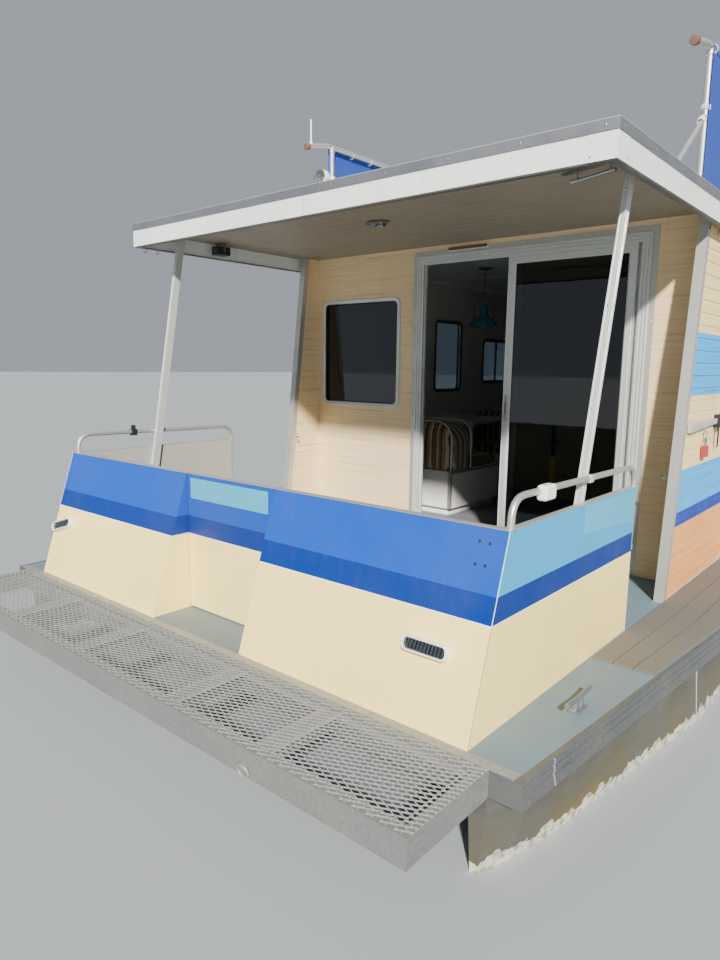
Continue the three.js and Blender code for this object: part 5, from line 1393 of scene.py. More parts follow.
# %% Rod holder
holder = Shape().tube([(3.780, 1.205, 2.452), (3.790, 1.245, 2.450), (3.845, 1.425, 2.456)], 0.0085, 0.012, 14)
holder.tube([(3.790, 1.240, 2.450), (3.790, 1.236, BOARD_LOW)], 0.005, sides=10)
holder.tube([(3.838, 1.402, 2.455), (3.838, 1.402, BOARD_LOW)], 0.005, sides=10)
holder.make("rod_holder_bar", "chrome")
holder_plate = Shape().prism([(3.815, 1.190), (3.842, 1.185), (3.905, 1.385), (3.876, 1.392)], "Z", 2.470, 2.477)
holder_plate.make("rod_holder_plate", "dark_metal", bevel=0.001)
Shape().box((3.835, 1.270, 2.477), (3.850, 1.290, BOARD_LOW)).make("rod_holder_stem", "dark_metal")
print("rod holder in the port corner")

# %% Hooks
HOOKS = ((4.129, -1.545), (4.040, -1.545), (2.794, 1.528), (2.627, 1.528), (0.9, 1.528), (-1.4, -1.528))
HOOK_R, SHANK = 0.010, 0.018
hooks, top = Shape(), fascia_low.z - 0.004
for x, y in HOOKS:
    path = [(x, y, top), (x, y, top - SHANK)]
    path += [(x + HOOK_R - HOOK_R * math.cos(a), y, top - SHANK - HOOK_R * math.sin(a))
             for a in around(8, math.pi, 1)[1:]]
    hooks.tube(path + [(x + 2 * HOOK_R, y, top - 0.012)], 0.0018, sides=8)
hooks.make("roof_hooks", "dark_metal")
print("hooks:", len(HOOKS))

# %% [markdown]
# ## Side walks, gunwale and hull seams
# The walks are planks with a non-skid face and a dark gap between them. Narrow joints cross the gunwale's ridges, and
# the hull sheets meet in raised weld seams, which follow the hull's own side: a ray cast at the hull finds where the
# side lies at each height. Cleats stand on the deck at both ends.

# %% Side walks, gunwale and hull seams
PLANK_GAP, PLANKS, BUTT = 0.0045, 3, 0.0012
DECK_EDGE = [(5.0, 1.690), (4.660, 1.719), (4.130, 1.762), (3.450, 1.816), (3.180, 1.837), (2.0, 1.850),
             (-4.4, 1.850), (-5.0, 1.830)]
SEAM_X = (3.42, 0.98, -1.46, -3.90)
JOINT_X = (4.800, 0.860, -3.180)
CLEATS = {"fore": 4.434, "aft": -4.560}
BAND = [(0.020, 0.3995), (0.024, 0.394), (0.024, 0.380), (0.019, 0.375), (0.024, 0.370), (0.024, 0.350),
        (0.019, 0.345), (0.024, 0.340), (0.028, 0.322), (0.030, 0.3065)]
walk_low, walk_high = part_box("side_walk_port")
BUTTS = [walk_high.x, 1.560, -0.870, walk_low.x]


def deck_half(x):
    for (fore, a), (aft, b) in zip(DECK_EDGE, DECK_EDGE[1:]):
        if aft <= x <= fore:
            return a + (b - a) * (fore - x) / (fore - aft)
    return DECK_EDGE[-1][1]


def plank_edge(stations, row, inset, sign):
    """One long edge of a plank, at its row's share of the walk's width."""
    widths = [(x, deck_half(x) - 0.006 - walk_low.y) for x in stations]
    return [(x, sign * (walk_low.y + width * (row / PLANKS) + inset)) for x, width in widths]


for side, sign in SIDES:
    planks = Shape()
    for row in range(PLANKS):
        gap_in, gap_out = PLANK_GAP / 2 * (row > 0), PLANK_GAP / 2 * (row < PLANKS - 1)
        for fore, aft in zip(BUTTS, BUTTS[1:]):
            stations = [fore - BUTT] + [x for x, _ in DECK_EDGE if aft < x < fore] + [aft + BUTT]
            outer = plank_edge(stations, row + 1, -gap_out, sign)
            planks.prism(plank_edge(stations, row, gap_in, sign) + outer[::-1], "Z", DECK + 0.0003, walk_high.z)
    planks.make(f"walk_planks_{side}", "walk_board", bevel=0.0012, stands_for=f"side_walk_{side}")
print("planks:", PLANKS, "each side")

# %% Hull seams, gunwale joints and cleats
for side, sign in SIDES:
    hull = NODES[f"hull_{side}"].data
    tree = BVHTree.FromPolygons([v.co for v in hull.vertices], [p.vertices for p in hull.polygons])
    welds = Shape()
    for x in SEAM_X:
        rays = [tree.ray_cast(Vector((x, sign * 3, 0.300 - n * 0.050)), Vector((0, -sign, 0))) for n in range(12)]
        welds.tube([ray[0] for ray in rays if ray[0]], 0.0035, sides=8)
    welds.make(f"hull_welds_{side}", "weld_metal")
    joints = Shape()
    for x in JOINT_X:
        sections = []
        for at in (x - 0.003, x + 0.003):
            skin = [[(at, sign * (deck_half(at) + out + proud), z) for out, z in BAND] for proud in (0.0002, 0.001)]
            sections.append(skin[0] + skin[1][::-1])
        joints.loft(sections)
    joints.make(f"gunwale_joints_{side}", "weld_metal")
    for end, x in CLEATS.items():
        y = sign * 1.650
        cleat = Shape().box((x - 0.0465, y - 0.0195, DECK + 0.0002), (x + 0.0465, y + 0.0195, DECK + 0.0088))
        for post_x in (x - 0.023, x + 0.023):
            cleat.prism(shifted(rounded(0.0195, 0.0175, 0.006, 3), post_x, y), "Z", DECK + 0.008, DECK + 0.046)
        horn = [(x - 0.1055, y, DECK + 0.0512), (x, y, DECK + 0.0452), (x + 0.1055, y, DECK + 0.0512)]
        cleat.tube(horn, 0.0096, sides=14).make(f"cleat_{end}_{side}", "drip_metal", bevel=0.001)
        screw((x - 0.038, y, DECK + 0.0086), (0, 0, 1), (x + 0.038, y, DECK + 0.0086), 0.076)
print("weld seams at", SEAM_X)

# %% [markdown]
# ## Canvas on the roof rails
# Blue canvas is laced between the roof rail's top and middle tubes. It is one sheet, a little slack, so it billows
# out between the posts and is drawn in at each lashing. A sheet like this needs no simulation: its slack is known,
# and a sine for each bay gives the same curve every time. The hems are folded double.

# %% Canvas on the roof rails
LACING, BILLOW, HEM = 0.230, 0.009, 0.032
canvas_low, canvas_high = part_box("canvas_port")
CANVAS_Y = canvas_low.y + 0.0022
LACING_X = [canvas_high.x - LACING * (n + 0.15) for n in range(int((canvas_high.x - canvas_low.x) / LACING))]


def canvas_point(u, v):
    """A place on the canvas: u along it and v up it, both from 0 to 1, as (x, y, z) on the port side."""
    x = canvas_high.x + (canvas_low.x - canvas_high.x) * u
    bay = (POST_X[0] - x) / (POST_X[0] - POST_X[1])
    belly = BILLOW * abs(math.sin(math.pi * bay)) ** 0.7 * math.sin(math.pi * v)
    ripple = 0.0012 * math.sin(2 * math.pi * x / LACING) * (1 - math.sin(math.pi * v))
    drawn = 0.004 * (1 - math.cos(2 * math.pi * (canvas_high.x - x) / LACING)) / 2
    z = canvas_low.z + drawn + (canvas_high.z - canvas_low.z - 2 * drawn) * v
    return (x, CANVAS_Y + belly + ripple, z)


def canvas_strip(name, sign, v_low, v_high, rows, thick, columns=240):
    """A stretch of the canvas between two shares of its height, as a sheet of true thickness."""
    points = [canvas_point(j / columns, v_low + (v_high - v_low) * i / rows)
              for i in range(rows + 1) for j in range(columns + 1)]
    firsts = [i * (columns + 1) + j for i in range(rows) for j in range(columns)]
    faces = [(a, a + 1, a + columns + 2, a + columns + 1) for a in firsts]
    mesh = bpy.data.meshes.new(name)
    mesh.from_pydata([(x, sign * y, z) for x, y, z in points], [], [face[::-sign] for face in faces])
    mesh.shade_smooth()
    made = mesh_object(name, mesh, "canvas", "hull")
    wall = made.modifiers.new("thickness", "SOLIDIFY")
    wall.thickness = thick
    wall.offset = 0
    return made


def lashing_growth(radius, cord):
    """A cord loop round the rail and through the canvas on each seed, standing across the rail."""
    tree = Growth("lashings", {"Loop radius": radius, "Cord radius": cord})
    loop, section = (tree.node("GeometryNodeCurvePrimitiveCircle", {"Resolution": count, "Radius": tree.given[size]})
                     for size, count in (("Loop radius", 20), ("Cord radius", 6)))
    cord_loop = tree.node("GeometryNodeCurveToMesh", {"Curve": loop, "Profile Curve": section})
    return tree.close(tree.scattered(tree.turned(cord_loop, tree.vector(0.12, math.pi / 2, 0.0))))


print("lashing places:", len(LACING_X))

# %% Sheets, hems and lashings
hem_share = HEM / (canvas_high.z - canvas_low.z)
# Columns: lashing, its growth, distance from the middle and height of its loops
LASHINGS = [("top", lashing_growth(0.0262, 0.0023), 1.3868, 3.3432),
            ("low", lashing_growth(0.0228, 0.0023), 1.3863, 2.6115)]
for side, sign in SIDES:
    canvas = canvas_strip(f"canvas_sheet_{side}", sign, 0, 1, 14, 0.0012)
    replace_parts(canvas, f"canvas_{side}")
    laced = [canvas_strip(f"canvas_hem_low_{side}", sign, 0.002, hem_share, 2, 0.0032),
             canvas_strip(f"canvas_hem_top_{side}", sign, 1 - hem_share, 0.998, 2, 0.0032)]
    eyelets = Shape()
    for x in LACING_X:
        for z in (2.628, 3.3225):
            eyelets.collar(0.0052, 0.0105, 0.0024, (x, sign * (CANVAS_Y + 0.0006), z), (0, 1, 0), 12)
    laced.append(eyelets.make(f"canvas_eyelets_{side}", "chrome"))
    for edge, growth, out, z in LASHINGS:
        laced.append(growth.grow(f"lashings_{edge}_{side}", [(x, sign * out, z) for x in LACING_X], "webbing"))

# %% [markdown]
# ## Cord bindings on the roof rail
# At the fore posts white cord is wound round the brace and the post, and round the foot. Each binding is a short
# helix of touching turns, made by one tube that winds round an axis.

# %% Cord bindings on the roof rail
CORD, TURN_STEPS = 0.0035, 14
# Columns: how far ahead of the fore post, height, axis, radius, turns
BINDINGS = [
    (0, 3.052, (0, 0, 1), 0.0225, 4),
    (0.055, 2.972, (0.80, 0, -0.62), 0.0180, 6),
    (0, 2.585, (0, 0, 1), 0.0225, 7),
    (0.018, 2.632, (0.5, 0, 0.9), 0.0290, 3),
]


def binding(centre, axis, radius, turns):
    along = Vector(axis).normalized()
    side = along.orthogonal().normalized()
    other = along.cross(side)
    steps = turns * TURN_STEPS
    path = []
    for k in range(steps + 1):
        angle = 2 * math.pi * k / TURN_STEPS
        rise = (k / steps - 0.5) * turns * CORD * 1.9
        path.append(centre + along * rise + (side * math.cos(angle) + other * math.sin(angle)) * radius)
    return path


for side, sign in SIDES:
    ties = Shape()
    for ahead, z, axis, radius, turns in BINDINGS:
        centre = Vector((POST_X[0] + ahead, sign * ROOF_RAIL_Y, z))
        ties.tube(binding(centre, axis, radius, turns), CORD, sides=7)
    ties.make(f"rail_bindings_{side}", "webbing")
print("bindings on each fore post:", len(BINDINGS))

# %% [markdown]
# ## Search light and rod
# The starboard rail carries a round search light and a thin upright rod. The light is a turned housing with a
# chrome rim and a clear lens facing the bow.

# %% Search light and rod
SEARCH_SHELL = [(0, -0.100), (0.020, -0.099), (0.040, -0.090), (0.051, -0.066), (0.0545, -0.030), (0.0545, -0.006),
                (0.048, -0.006), (0.046, -0.060), (0, -0.085)]
SEARCH_RIM = [(0.0485, -0.012), (0.0555, -0.010), (0.0555, -0.001), (0.053, 0), (0.0485, -0.002), (0.0485, -0.012)]
SEARCH_LENS = [(0, -0.006), (0.0482, -0.008), (0.0482, -0.003), (0.025, -0.0012), (0, -0.0005)]
spot = Vector((POST_X[0] + 0.150, -ROOF_RAIL_Y, 3.110))
on_rail = (POST_X[0], spot.y, spot.z)
housing = Shape().turned(SEARCH_SHELL, spot, (1, 0, 0), 36)
housing.tube([on_rail, (spot.x - 0.092, spot.y, spot.z)], 0.012)
housing.turned([(0.0195, -0.022), (0.026, -0.020), (0.026, 0.020), (0.0195, 0.022), (0.0195, -0.022)], on_rail,
               sides=24)
housing.make("search_light_housing", "lamp_plastic")
Shape().turned(SEARCH_RIM, spot, (1, 0, 0), 36).make("search_light_rim", "chrome")
Shape().turned(SEARCH_LENS, spot, (1, 0, 0), 36).make("search_light_lens", "lamp_lens")
rod_x, rod_y = 2.766, -ROOF_RAIL_Y
rod = Shape().tube([(rod_x, rod_y, 3.300), (rod_x, rod_y, 3.494)], 0.0062, sides=12)
rod.turned([(0.0062, -0.012), (0.0105, -0.012), (0.0105, 0.012), (0.0062, 0.014)], (rod_x, rod_y, 3.328))
rod.turned([(0, 0), (0.0075, 0), (0.0075, 0.004), (0, 0.006)], (rod_x, rod_y, 3.4935))
rod.make("rail_rod", "lamp_plastic")
print("search light at", [round(v, 2) for v in spot])

# %% [markdown]
# ## Stern rails and ladder
# Round tube again, bent at the corners. The ladder's rungs repeat up the two sides, so a Geometry Nodes line of
# points carries them, with the pitch and the count as inputs.

# %% Stern rails and ladder
FORE, AFT, TOP_Z, MIDDLE_Z = -4.030, -4.950, 1.240, 0.830
STERN_FOOT = [(0, 0.0003), (0.038, 0.0003), (0.038, 0.005), (0.021, 0.009), (0.020, 0.024), (0, 0.024)]
LADDER_FOOT = [(0, 0.0003), (0.036, 0.0003), (0.036, 0.005), (0.022, 0.009), (0.0215, 0.024), (0, 0.024)]
for side, sign in SIDES:
    out, inner, brace = sign * 1.470, sign * 0.450, (AFT + 0.020, sign * 1.450)
    corners = [(FORE, out, DECK), (FORE, out, TOP_Z), (AFT, out, TOP_Z), (AFT, inner, TOP_Z), (AFT, inner, DECK)]
    rails = Shape().tube(corners, 0.016, 0.070, 18)
    rails.tube([(FORE, out, MIDDLE_Z), (AFT, out, MIDDLE_Z), (AFT, inner, MIDDLE_Z)], 0.011, 0.040, 14)
    rails.tube([(*brace, DECK), (*brace, 1.225)], 0.014, sides=14)
    for x, y in ((FORE, out), (AFT, inner), brace):
        rails.turned(STERN_FOOT, (x, y, DECK), sides=24)
        for screw_x in (x + 0.029, x - 0.029):
            screw((screw_x, y, DECK + 0.0072), (0, 0, 1))
    rails.make(f"stern_rail_tubes_{side}", "rail_metal", stands_for=f"stern_rail_{side}")
print("stern rails", round(TOP_Z - DECK, 2), "m high")

# %% Roof ladder
ladder_low, ladder_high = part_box("roof_ladder")
LADDER_X, LADDER_TOP = (ladder_low.x + ladder_high.x) / 2, 2.900
LADDER_SIDES = (ladder_low.y + 0.018, ladder_high.y - 0.018)
RUNGS = {"Rung length": LADDER_SIDES[1] - LADDER_SIDES[0], "Rung radius": 0.013, "Pitch": 0.280}


def rung_growth():
    tree = Growth("ladder rungs", RUNGS)
    row = tree.node("GeometryNodeMeshLine", {"Count": 8, "Offset": tree.vector(0.0, 0.0, tree.given["Pitch"])})
    sizes = {"Radius": tree.given["Rung radius"], "Depth": tree.given["Rung length"]}
    rung = tree.node("GeometryNodeMeshCylinder", {"Vertices": 20, "Side Segments": 1, "Fill Segments": 1, **sizes})
    return tree.close(tree.scattered(tree.scattered(tree.turned(rung, (math.pi / 2, 0, 0)), row)))


corners = [(y, z) for y, ends in zip(LADDER_SIDES, ((DECK, LADDER_TOP), (LADDER_TOP, DECK))) for z in ends]
ladder = Shape().tube([(LADDER_X, y, z) for y, z in corners], 0.018, 0.090, 18)
for y in LADDER_SIDES:
    ladder.turned(LADDER_FOOT, (LADDER_X, y, DECK), sides=24)
    for z in (1.300, 2.440):
        ladder.collar(0.0178, 0.0215, 0.014, (LADDER_X, y, z), sides=20)
ladder.make("ladder_sides", "rail_metal", stands_for="roof_ladder")
rungs = rung_growth().grow("ladder_rungs", [(LADDER_X, sum(LADDER_SIDES) / 2, DECK + 0.250)], "rail_metal")
rungs.data.shade_smooth()
rungs.data.set_sharp_from_angle(angle=math.radians(40))
print("roof ladder", round(LADDER_TOP - DECK, 2), "m high")

# %% [markdown]
# ## Hand rail fittings
# A small white lamp box is clamped on the port hand rail, and a strap holds each rail to its roof post where the
# two cross. A dark clip sits on the starboard rail.

# %% Hand rail fittings
LAMP_X, LAMP_Z, STRAP_Z = 4.460, 1.206, 1.2045
lamp_box = Shape().box((LAMP_X - 0.043, HAND_RAIL_Y - 0.010, LAMP_Z - 0.031),
                       (LAMP_X + 0.043, HAND_RAIL_Y + 0.032, LAMP_Z + 0.027))
lamp_box.make("rail_lamp", "lamp_plastic", bevel=0.011).modifiers["edges"].segments = 4
clamp = Shape().box((LAMP_X - 0.049, HAND_RAIL_Y - 0.019, LAMP_Z - 0.018),
                    (LAMP_X - 0.037, HAND_RAIL_Y + 0.019, LAMP_Z + 0.020))
clamp.make("rail_lamp_clamp", "dark_metal", bevel=0.002)
for side, sign in SIDES:
    x = on_post(side, (STRAP_Z - POST_FOOT_Z) / (POST_HEAD_Z - POST_FOOT_Z)).x
    strap = Shape().box((x - 0.020, sign * 1.465, STRAP_Z - 0.0165),
                        (x + 0.020, sign * (HAND_RAIL_Y + 0.0155), STRAP_Z + 0.0165))
    strap.make(f"post_strap_{side}", "frame_metal", bevel=0.006)
clip = Shape().box((4.300, -HAND_RAIL_Y - 0.017, 1.185), (4.340, -HAND_RAIL_Y + 0.017, 1.226))
clip.box((4.305, -HAND_RAIL_Y - 0.006, 1.224), (4.335, -HAND_RAIL_Y + 0.006, 1.252))
clip.make("rail_clip", "black_plastic", bevel=0.003)
for side, sign in SIDES:
    latch = Shape().box((2.835, sign * 1.4628 - 0.002, 1.022), (2.895, sign * 1.4628 + 0.002, 1.092))
    lever = [(2.865, sign * 1.462, 1.062), (2.865, sign * 1.432, 1.058), (2.880, sign * 1.418, 1.076)]
    latch.tube(lever, 0.008, sides=12).make(f"wing_latch_{side}", "chrome", bevel=0.0008)
print("rail fittings made")

# %% [markdown]
# ## Door bar and padlock
# A bar across the side door's seam keeps it shut: a tapered grey bar in a black pivot, with a strap, and a padlock
# on a short link below it. All of it rides on the door, outboard of the siding, so it swings away with the leaf.

# %% Door bar and padlock
BAR_Y = CABIN_HALF + 0.0075
LOCK_X, LOCK_Y, LOCK_TOP, LOOP = 2.500, BAR_Y + 0.014, 1.222, 0.0195
# Columns: place along the boat, half height, thickness
BAR_SECTIONS = [(2.830, 0.026, 0.016), (2.815, 0.029, 0.020), (2.640, 0.025, 0.019), (2.400, 0.018, 0.016),
                (2.215, 0.016, 0.016)]
# Columns: place along the boat, out from the bar, height, half width
STRAP = [(2.262, 0.018, 1.318, 0.011), (2.264, 0.022, 1.275, 0.011), (2.256, 0.020, 1.225, 0.010),
         (2.240, 0.016, 1.190, 0.008)]
bar_sections = []
for x, half, thick in BAR_SECTIONS:
    z = 1.341 + (2.830 - x) * 0.017
    bar_sections.append([(x, BAR_Y + thick / 2 + a, z + b) for a, b in rounded(thick, 2 * half, 0.006, 3)])
Shape().loft(bar_sections).make("door_bar", "lamp_plastic_grey", "side_door", bevel=0.0015)
pivot = Shape().box((2.165, CABIN_HALF + 0.0030, 1.312), (2.285, BAR_Y + 0.030, 1.388))
pivot.turned([(0, 0), (0.020, 0), (0.020, 0.008), (0.016, 0.011), (0, 0.011)], (2.225, BAR_Y + 0.030, 1.350),
             (0, 1, 0), 20)
pivot.make("door_bar_pivot", "black_plastic", "side_door", bevel=0.006)
strap = Shape().loft([[(x + a, BAR_Y + out + b, z) for a, b in rounded(2 * half, 0.006, 0.0025, 2)]
                      for x, out, z, half in STRAP])
strap.make("door_strap", "black_plastic", "side_door")
print("door bar", round(2.830 - 2.165, 3), "m long")

# %% Padlock
shackle = [(LOCK_X - LOOP * math.cos(a), LOCK_Y, LOCK_TOP + 0.022 + LOOP * math.sin(a))
           for a in around(8, math.pi, 1)]
feet = [(LOCK_X + a, LOCK_Y, LOCK_TOP - 0.006) for a in (-LOOP, LOOP)]
hang = Shape().tube([feet[0], *shackle, feet[1]], 0.0044, sides=10)
link = [(LOCK_X, BAR_Y + 0.010 + 0.009 * math.cos(a), 1.281 + 0.024 * math.sin(a)) for a in around(16)]
hang.tube(link, 0.0028, sides=8, closed=True)
hang.box((LOCK_X - 0.016, CABIN_HALF + 0.0035, 1.296), (LOCK_X + 0.016, BAR_Y + 0.003, 1.328))
hang.make("padlock_shackle", "chrome", "side_door")
lock = Shape().box((LOCK_X - 0.036, BAR_Y + 0.001, LOCK_TOP - 0.066), (LOCK_X + 0.036, BAR_Y + 0.027, LOCK_TOP - 0.002))
lock.make("padlock_body", "red_enamel", "side_door", bevel=0.004)
barrel = Shape().disc(0.007, 0, 0.0012, (LOCK_X, LOCK_Y, LOCK_TOP - 0.0672), sides=16)
barrel.make("padlock_barrel", "chrome", "side_door")
print("padlock at", LOCK_X)

# %% [markdown]
# ## Bulwark linings
# Inside, the patio's side and front panels are lined with pale board, so the blue bands show only outside. Each
# lining is a sheet against the panel, with a small gap to it.

# %% Bulwark linings
LINING, PANEL_AFT = 0.0015, 3.523
lining_out, foot_z, head_z = BULWARK_HALF - 0.0303, DECK + 0.004, BULWARK_TOP - 0.001
FLAT = [(slope_x(foot_z) - 0.034, foot_z), (slope_x(BULWARK_TOP) - 0.034, head_z), (PANEL_AFT, head_z),
        (PANEL_AFT, foot_z)]
SHEET = [(slope_x(z) - 0.0335 - back, z) for z, back in ((foot_z, 0), (head_z, 0), (head_z, LINING), (foot_z, LINING))]
for side, sign in SIDES:
    lining = Shape().prism(FLAT, "Y", sign * lining_out, sign * (lining_out - LINING))
    lining.make(f"side_lining_{side}", "lining_paint")
    lining = Shape().prism(SHEET, "Y", sign * 0.332, sign * (lining_out - 0.002))
    lining.make(f"front_lining_{side}", "lining_paint")
Shape().box((4.6975, -0.318, 0.412), (4.6997, 0.318, head_z)).make("gate_lining", "lining_paint", "gate")
print("linings for the bulwark and the gate, ply", LINING, "m")

# %% [markdown]
# ## Dinette
# Two benches face each other by the starboard wall, with a table between. The bases are white laminate with a
# brushed strip at the bow corner. The backs are thick blocks in striped cloth, their inner top corner rounded and
# edged with white piping. Seats and backs are padded, so each is a closed form that air swells a little: the cloth
# simulation does that from an evenly remeshed start, with the resting side held.

# %% Dinette bases and table
# Columns: name, the base's ends, the back's ends, the plain solid it stands for
BENCHES = [("fore", 1.110, 1.930, 1.610, 1.930, "dinette_seat"),
           ("aft", -0.260, 0.560, -0.260, 0.060, "dinette_seat_aft")]
INNER, OUTER, SEAT, REST_TOP, REST_CORNER = -0.560, -1.464, 0.780, 1.200, 0.150
TABLE_LEG = [(0, 0), (0.150, 0), (0.150, 0.004), (0.120, 0.012), (0.045, 0.016), (0.034, 0.030), (0.032, 0.110),
             (0.032, 0.700), (0.060, 0.708), (0.110, 0.714), (0.110, 0.722), (0, 0.722)]
for name, x0, x1, _, _, plain in BENCHES:
    base = Shape().box((x0, OUTER, DECK + 0.060), (x1, INNER, SEAT))
    base.box((x0 + 0.030, OUTER, DECK), (x1 - 0.030, INNER - 0.035, DECK + 0.062))
    base.make(f"bench_base_{name}", "laminate", bevel=0.003, stands_for=plain)
    strips, foot, head, face = Shape(), DECK + 0.062, SEAT - 0.002, INNER - 0.0002
    for start, inward in ((x0, x0 + 0.026), (x1, x1 - 0.026)):
        strips.box((start, face, foot), (inward, INNER + 0.0014, head))
    strips.box((x1 - 0.0002, INNER - 0.026, foot), (x1 + 0.0014, INNER + 0.0014, head))
    strips.box((x0 + 0.030, face, SEAT - 0.024), (x1 - 0.030, INNER + 0.0012, head))
    strips.make(f"bench_strips_{name}", "rail_metal", bevel=0.0005)
table_low, table_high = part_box("dinette_table")
TABLE_SIZE = (table_high.x - table_low.x, table_high.y - OUTER)
TABLE_MID = ((table_high.x + table_low.x) / 2, (table_high.y + OUTER) / 2)
top_outline = shifted(rounded(TABLE_SIZE[0] - 0.004, TABLE_SIZE[1] - 0.004, 0.05), *TABLE_MID)
board = Shape().prism(top_outline, "Z", 1.1215, table_high.z)
board.turned(TABLE_LEG, (0.840, -1.050, DECK), sides=40)
board.make("table_board", "laminate", bevel=0.0015, stands_for="dinette_table")
banding = Shape().ring(*TABLE_SIZE, 0.052, [(0, -0.013), (0, 0.013), (0.003, 0.014), (0.003, -0.014)])
banding.moved(Matrix.Translation((*TABLE_MID, 1.1355))).make("table_banding", "rail_metal")
print("table", [round(v, 2) for v in TABLE_SIZE], "m")

# %% Seats and backs
def evaluated(made):
    return made.evaluated_get(bpy.context.evaluated_depsgraph_get())


def swelled(name, shape, finish, cap, voxel=0.012):
    """A padded piece: a closed form, evenly remeshed, blown up a little and held where it rests."""
    made = shape.make(name, finish)
    even = made.modifiers.new("even", "REMESH")
    even.mode = "VOXEL"
    even.voxel_size = voxel
    made.data = bpy.data.meshes.new_from_object(evaluated(made))
    made.modifiers.clear()
    rest = [v.co.copy() for v in made.data.vertices]
    floor_z = min(co.z for co in rest)
    held = made.vertex_groups.new(name="held")
    held.add([i for i, co in enumerate(rest) if co.z < floor_z + 0.004], 1.0, "REPLACE")
    air = made.modifiers.new("air", "CLOTH")
    air.settings.use_pressure = True
    air.settings.uniform_pressure_force = 4
    air.settings.vertex_group_mass = "held"
    air.settings.effector_weights.gravity = 0
    for moment in range(1, 21):
        bpy.context.scene.frame_set(moment)
    after = [v.co.copy() for v in evaluated(made).to_mesh().vertices]
    made.modifiers.clear()
    bpy.context.scene.frame_set(1)
    for vertex, start, end in zip(made.data.vertices, rest, after):
        shift = end - start
        vertex.co = start + shift * min(1.0, cap / max(shift.length, 1e-6))
    fine = made.modifiers.new("fine", "SUBSURF")
    fine.levels = fine.render_levels = 1
    made.data.shade_smooth()
    return made


def back_outline(inset):
    y, z, reach = INNER - REST_CORNER, REST_TOP - REST_CORNER, REST_CORNER - inset
    corner = [(y + reach * math.cos(a), z + reach * math.sin(a)) for a in around(8, math.pi / 2, 1)]
    foot = SEAT + 0.002
    return [(OUTER + inset, foot), (INNER - inset, foot), *corner, (OUTER + inset, REST_TOP - inset)]


print("helpers ready: swelled, back_outline")

# %% Padded seats and backs
for name, x0, x1, rest0, rest1, _ in BENCHES:
    back = Shape().prism(back_outline(0.009), "X", rest0 + 0.009, rest1 - 0.009)
    swelled(f"bench_back_{name}", back, "striped_back", 0.012)
    piping = Shape()
    for x in (rest0 + 0.004, rest1 - 0.004):
        piping.tube([(x, y, z) for y, z in back_outline(0.004)[1:]], 0.0055, sides=10)
    piping.make(f"bench_piping_{name}", "lamp_plastic")
    seat0, seat1 = (x0, rest0) if name == "fore" else (rest1, x1)
    form = rounded(seat1 - seat0 - 0.022, INNER - OUTER - 0.030, 0.035)
    form = Shape().prism(shifted(form, (seat0 + seat1) / 2, (OUTER + INNER) / 2), "Z", SEAT + 0.0006, SEAT + 0.078)
    seat = swelled(f"bench_seat_{name}", form, "striped_cloth", 0.016)
    if name == "fore":
        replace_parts(seat, "dinette_cushion")
print("padded pieces: 4")

# %% [markdown]
# ## Galley, floor and ceiling
# The galley has five doors under five drawers, with bar pulls. The aisle has dark carpet, laid flat, and thin
# battens cover the ceiling's seams.

# %% Galley, floor and ceiling
FRONT_Y, DOOR_THICK, DOOR_PITCH, DOORS, BATTENS = 0.8995, 0.016, 0.4755, 5, 6
doors, pulls = Shape(), Shape()
for i in range(DOORS):
    x0, x1 = -1.488 + i * DOOR_PITCH, -1.488 + (i + 1) * DOOR_PITCH - 0.004
    for low, high in ((0.500, 1.098), (1.104, 1.250)):
        doors.box((x0, FRONT_Y - DOOR_THICK, low), (x1, FRONT_Y, high))
    for a, b in (((x0 + 0.17, 1.180), (x0 + 0.30, 1.180)), ((x1 - 0.05, 0.90), (x1 - 0.05, 1.03))):
        corners = [(x, FRONT_Y - out, z) for (x, z), out in ((a, 0.018), (a, 0.034), (b, 0.034), (b, 0.018))]
        pulls.tube(corners, 0.004, 0.010, 8)
doors.make("galley_doors", "laminate", bevel=0.002)
pulls.make("galley_pulls", "chrome")
Shape().box((-1.490, 0.893, DECK + 0.001), (0.890, 0.8995, 0.492)).make("galley_kick", "black_plastic")
carpet = Shape().box((-3.930, -0.552, DECK + 0.0004), (2.530, 0.890, DECK + 0.005))
carpet = carpet.make("aisle_carpet", "carpet", bevel=0.001)
battens = Shape()
for i in range(BATTENS):
    x = 2.060 - 1.2 * i
    battens.box((x - 0.018, -1.463, 2.4885), (x + 0.018, 1.463, 2.4937))
for _, sign in SIDES:
    battens.box((-3.958, sign * 1.4565 - 0.007, 2.470), (2.544, sign * 1.4565 + 0.007, 2.4937))
battens.make("ceiling_battens", "trim_white", bevel=0.001)
print("galley doors and drawers:", 2 * DOORS, " ceiling battens:", BATTENS)

# %% [markdown]
# ## Pendant lamp
# A teal enamel bell with a neck hangs from a chain. A wire yoke runs from its shoulders to a ring. The links are
# flat loops, each turned a quarter from the one before.

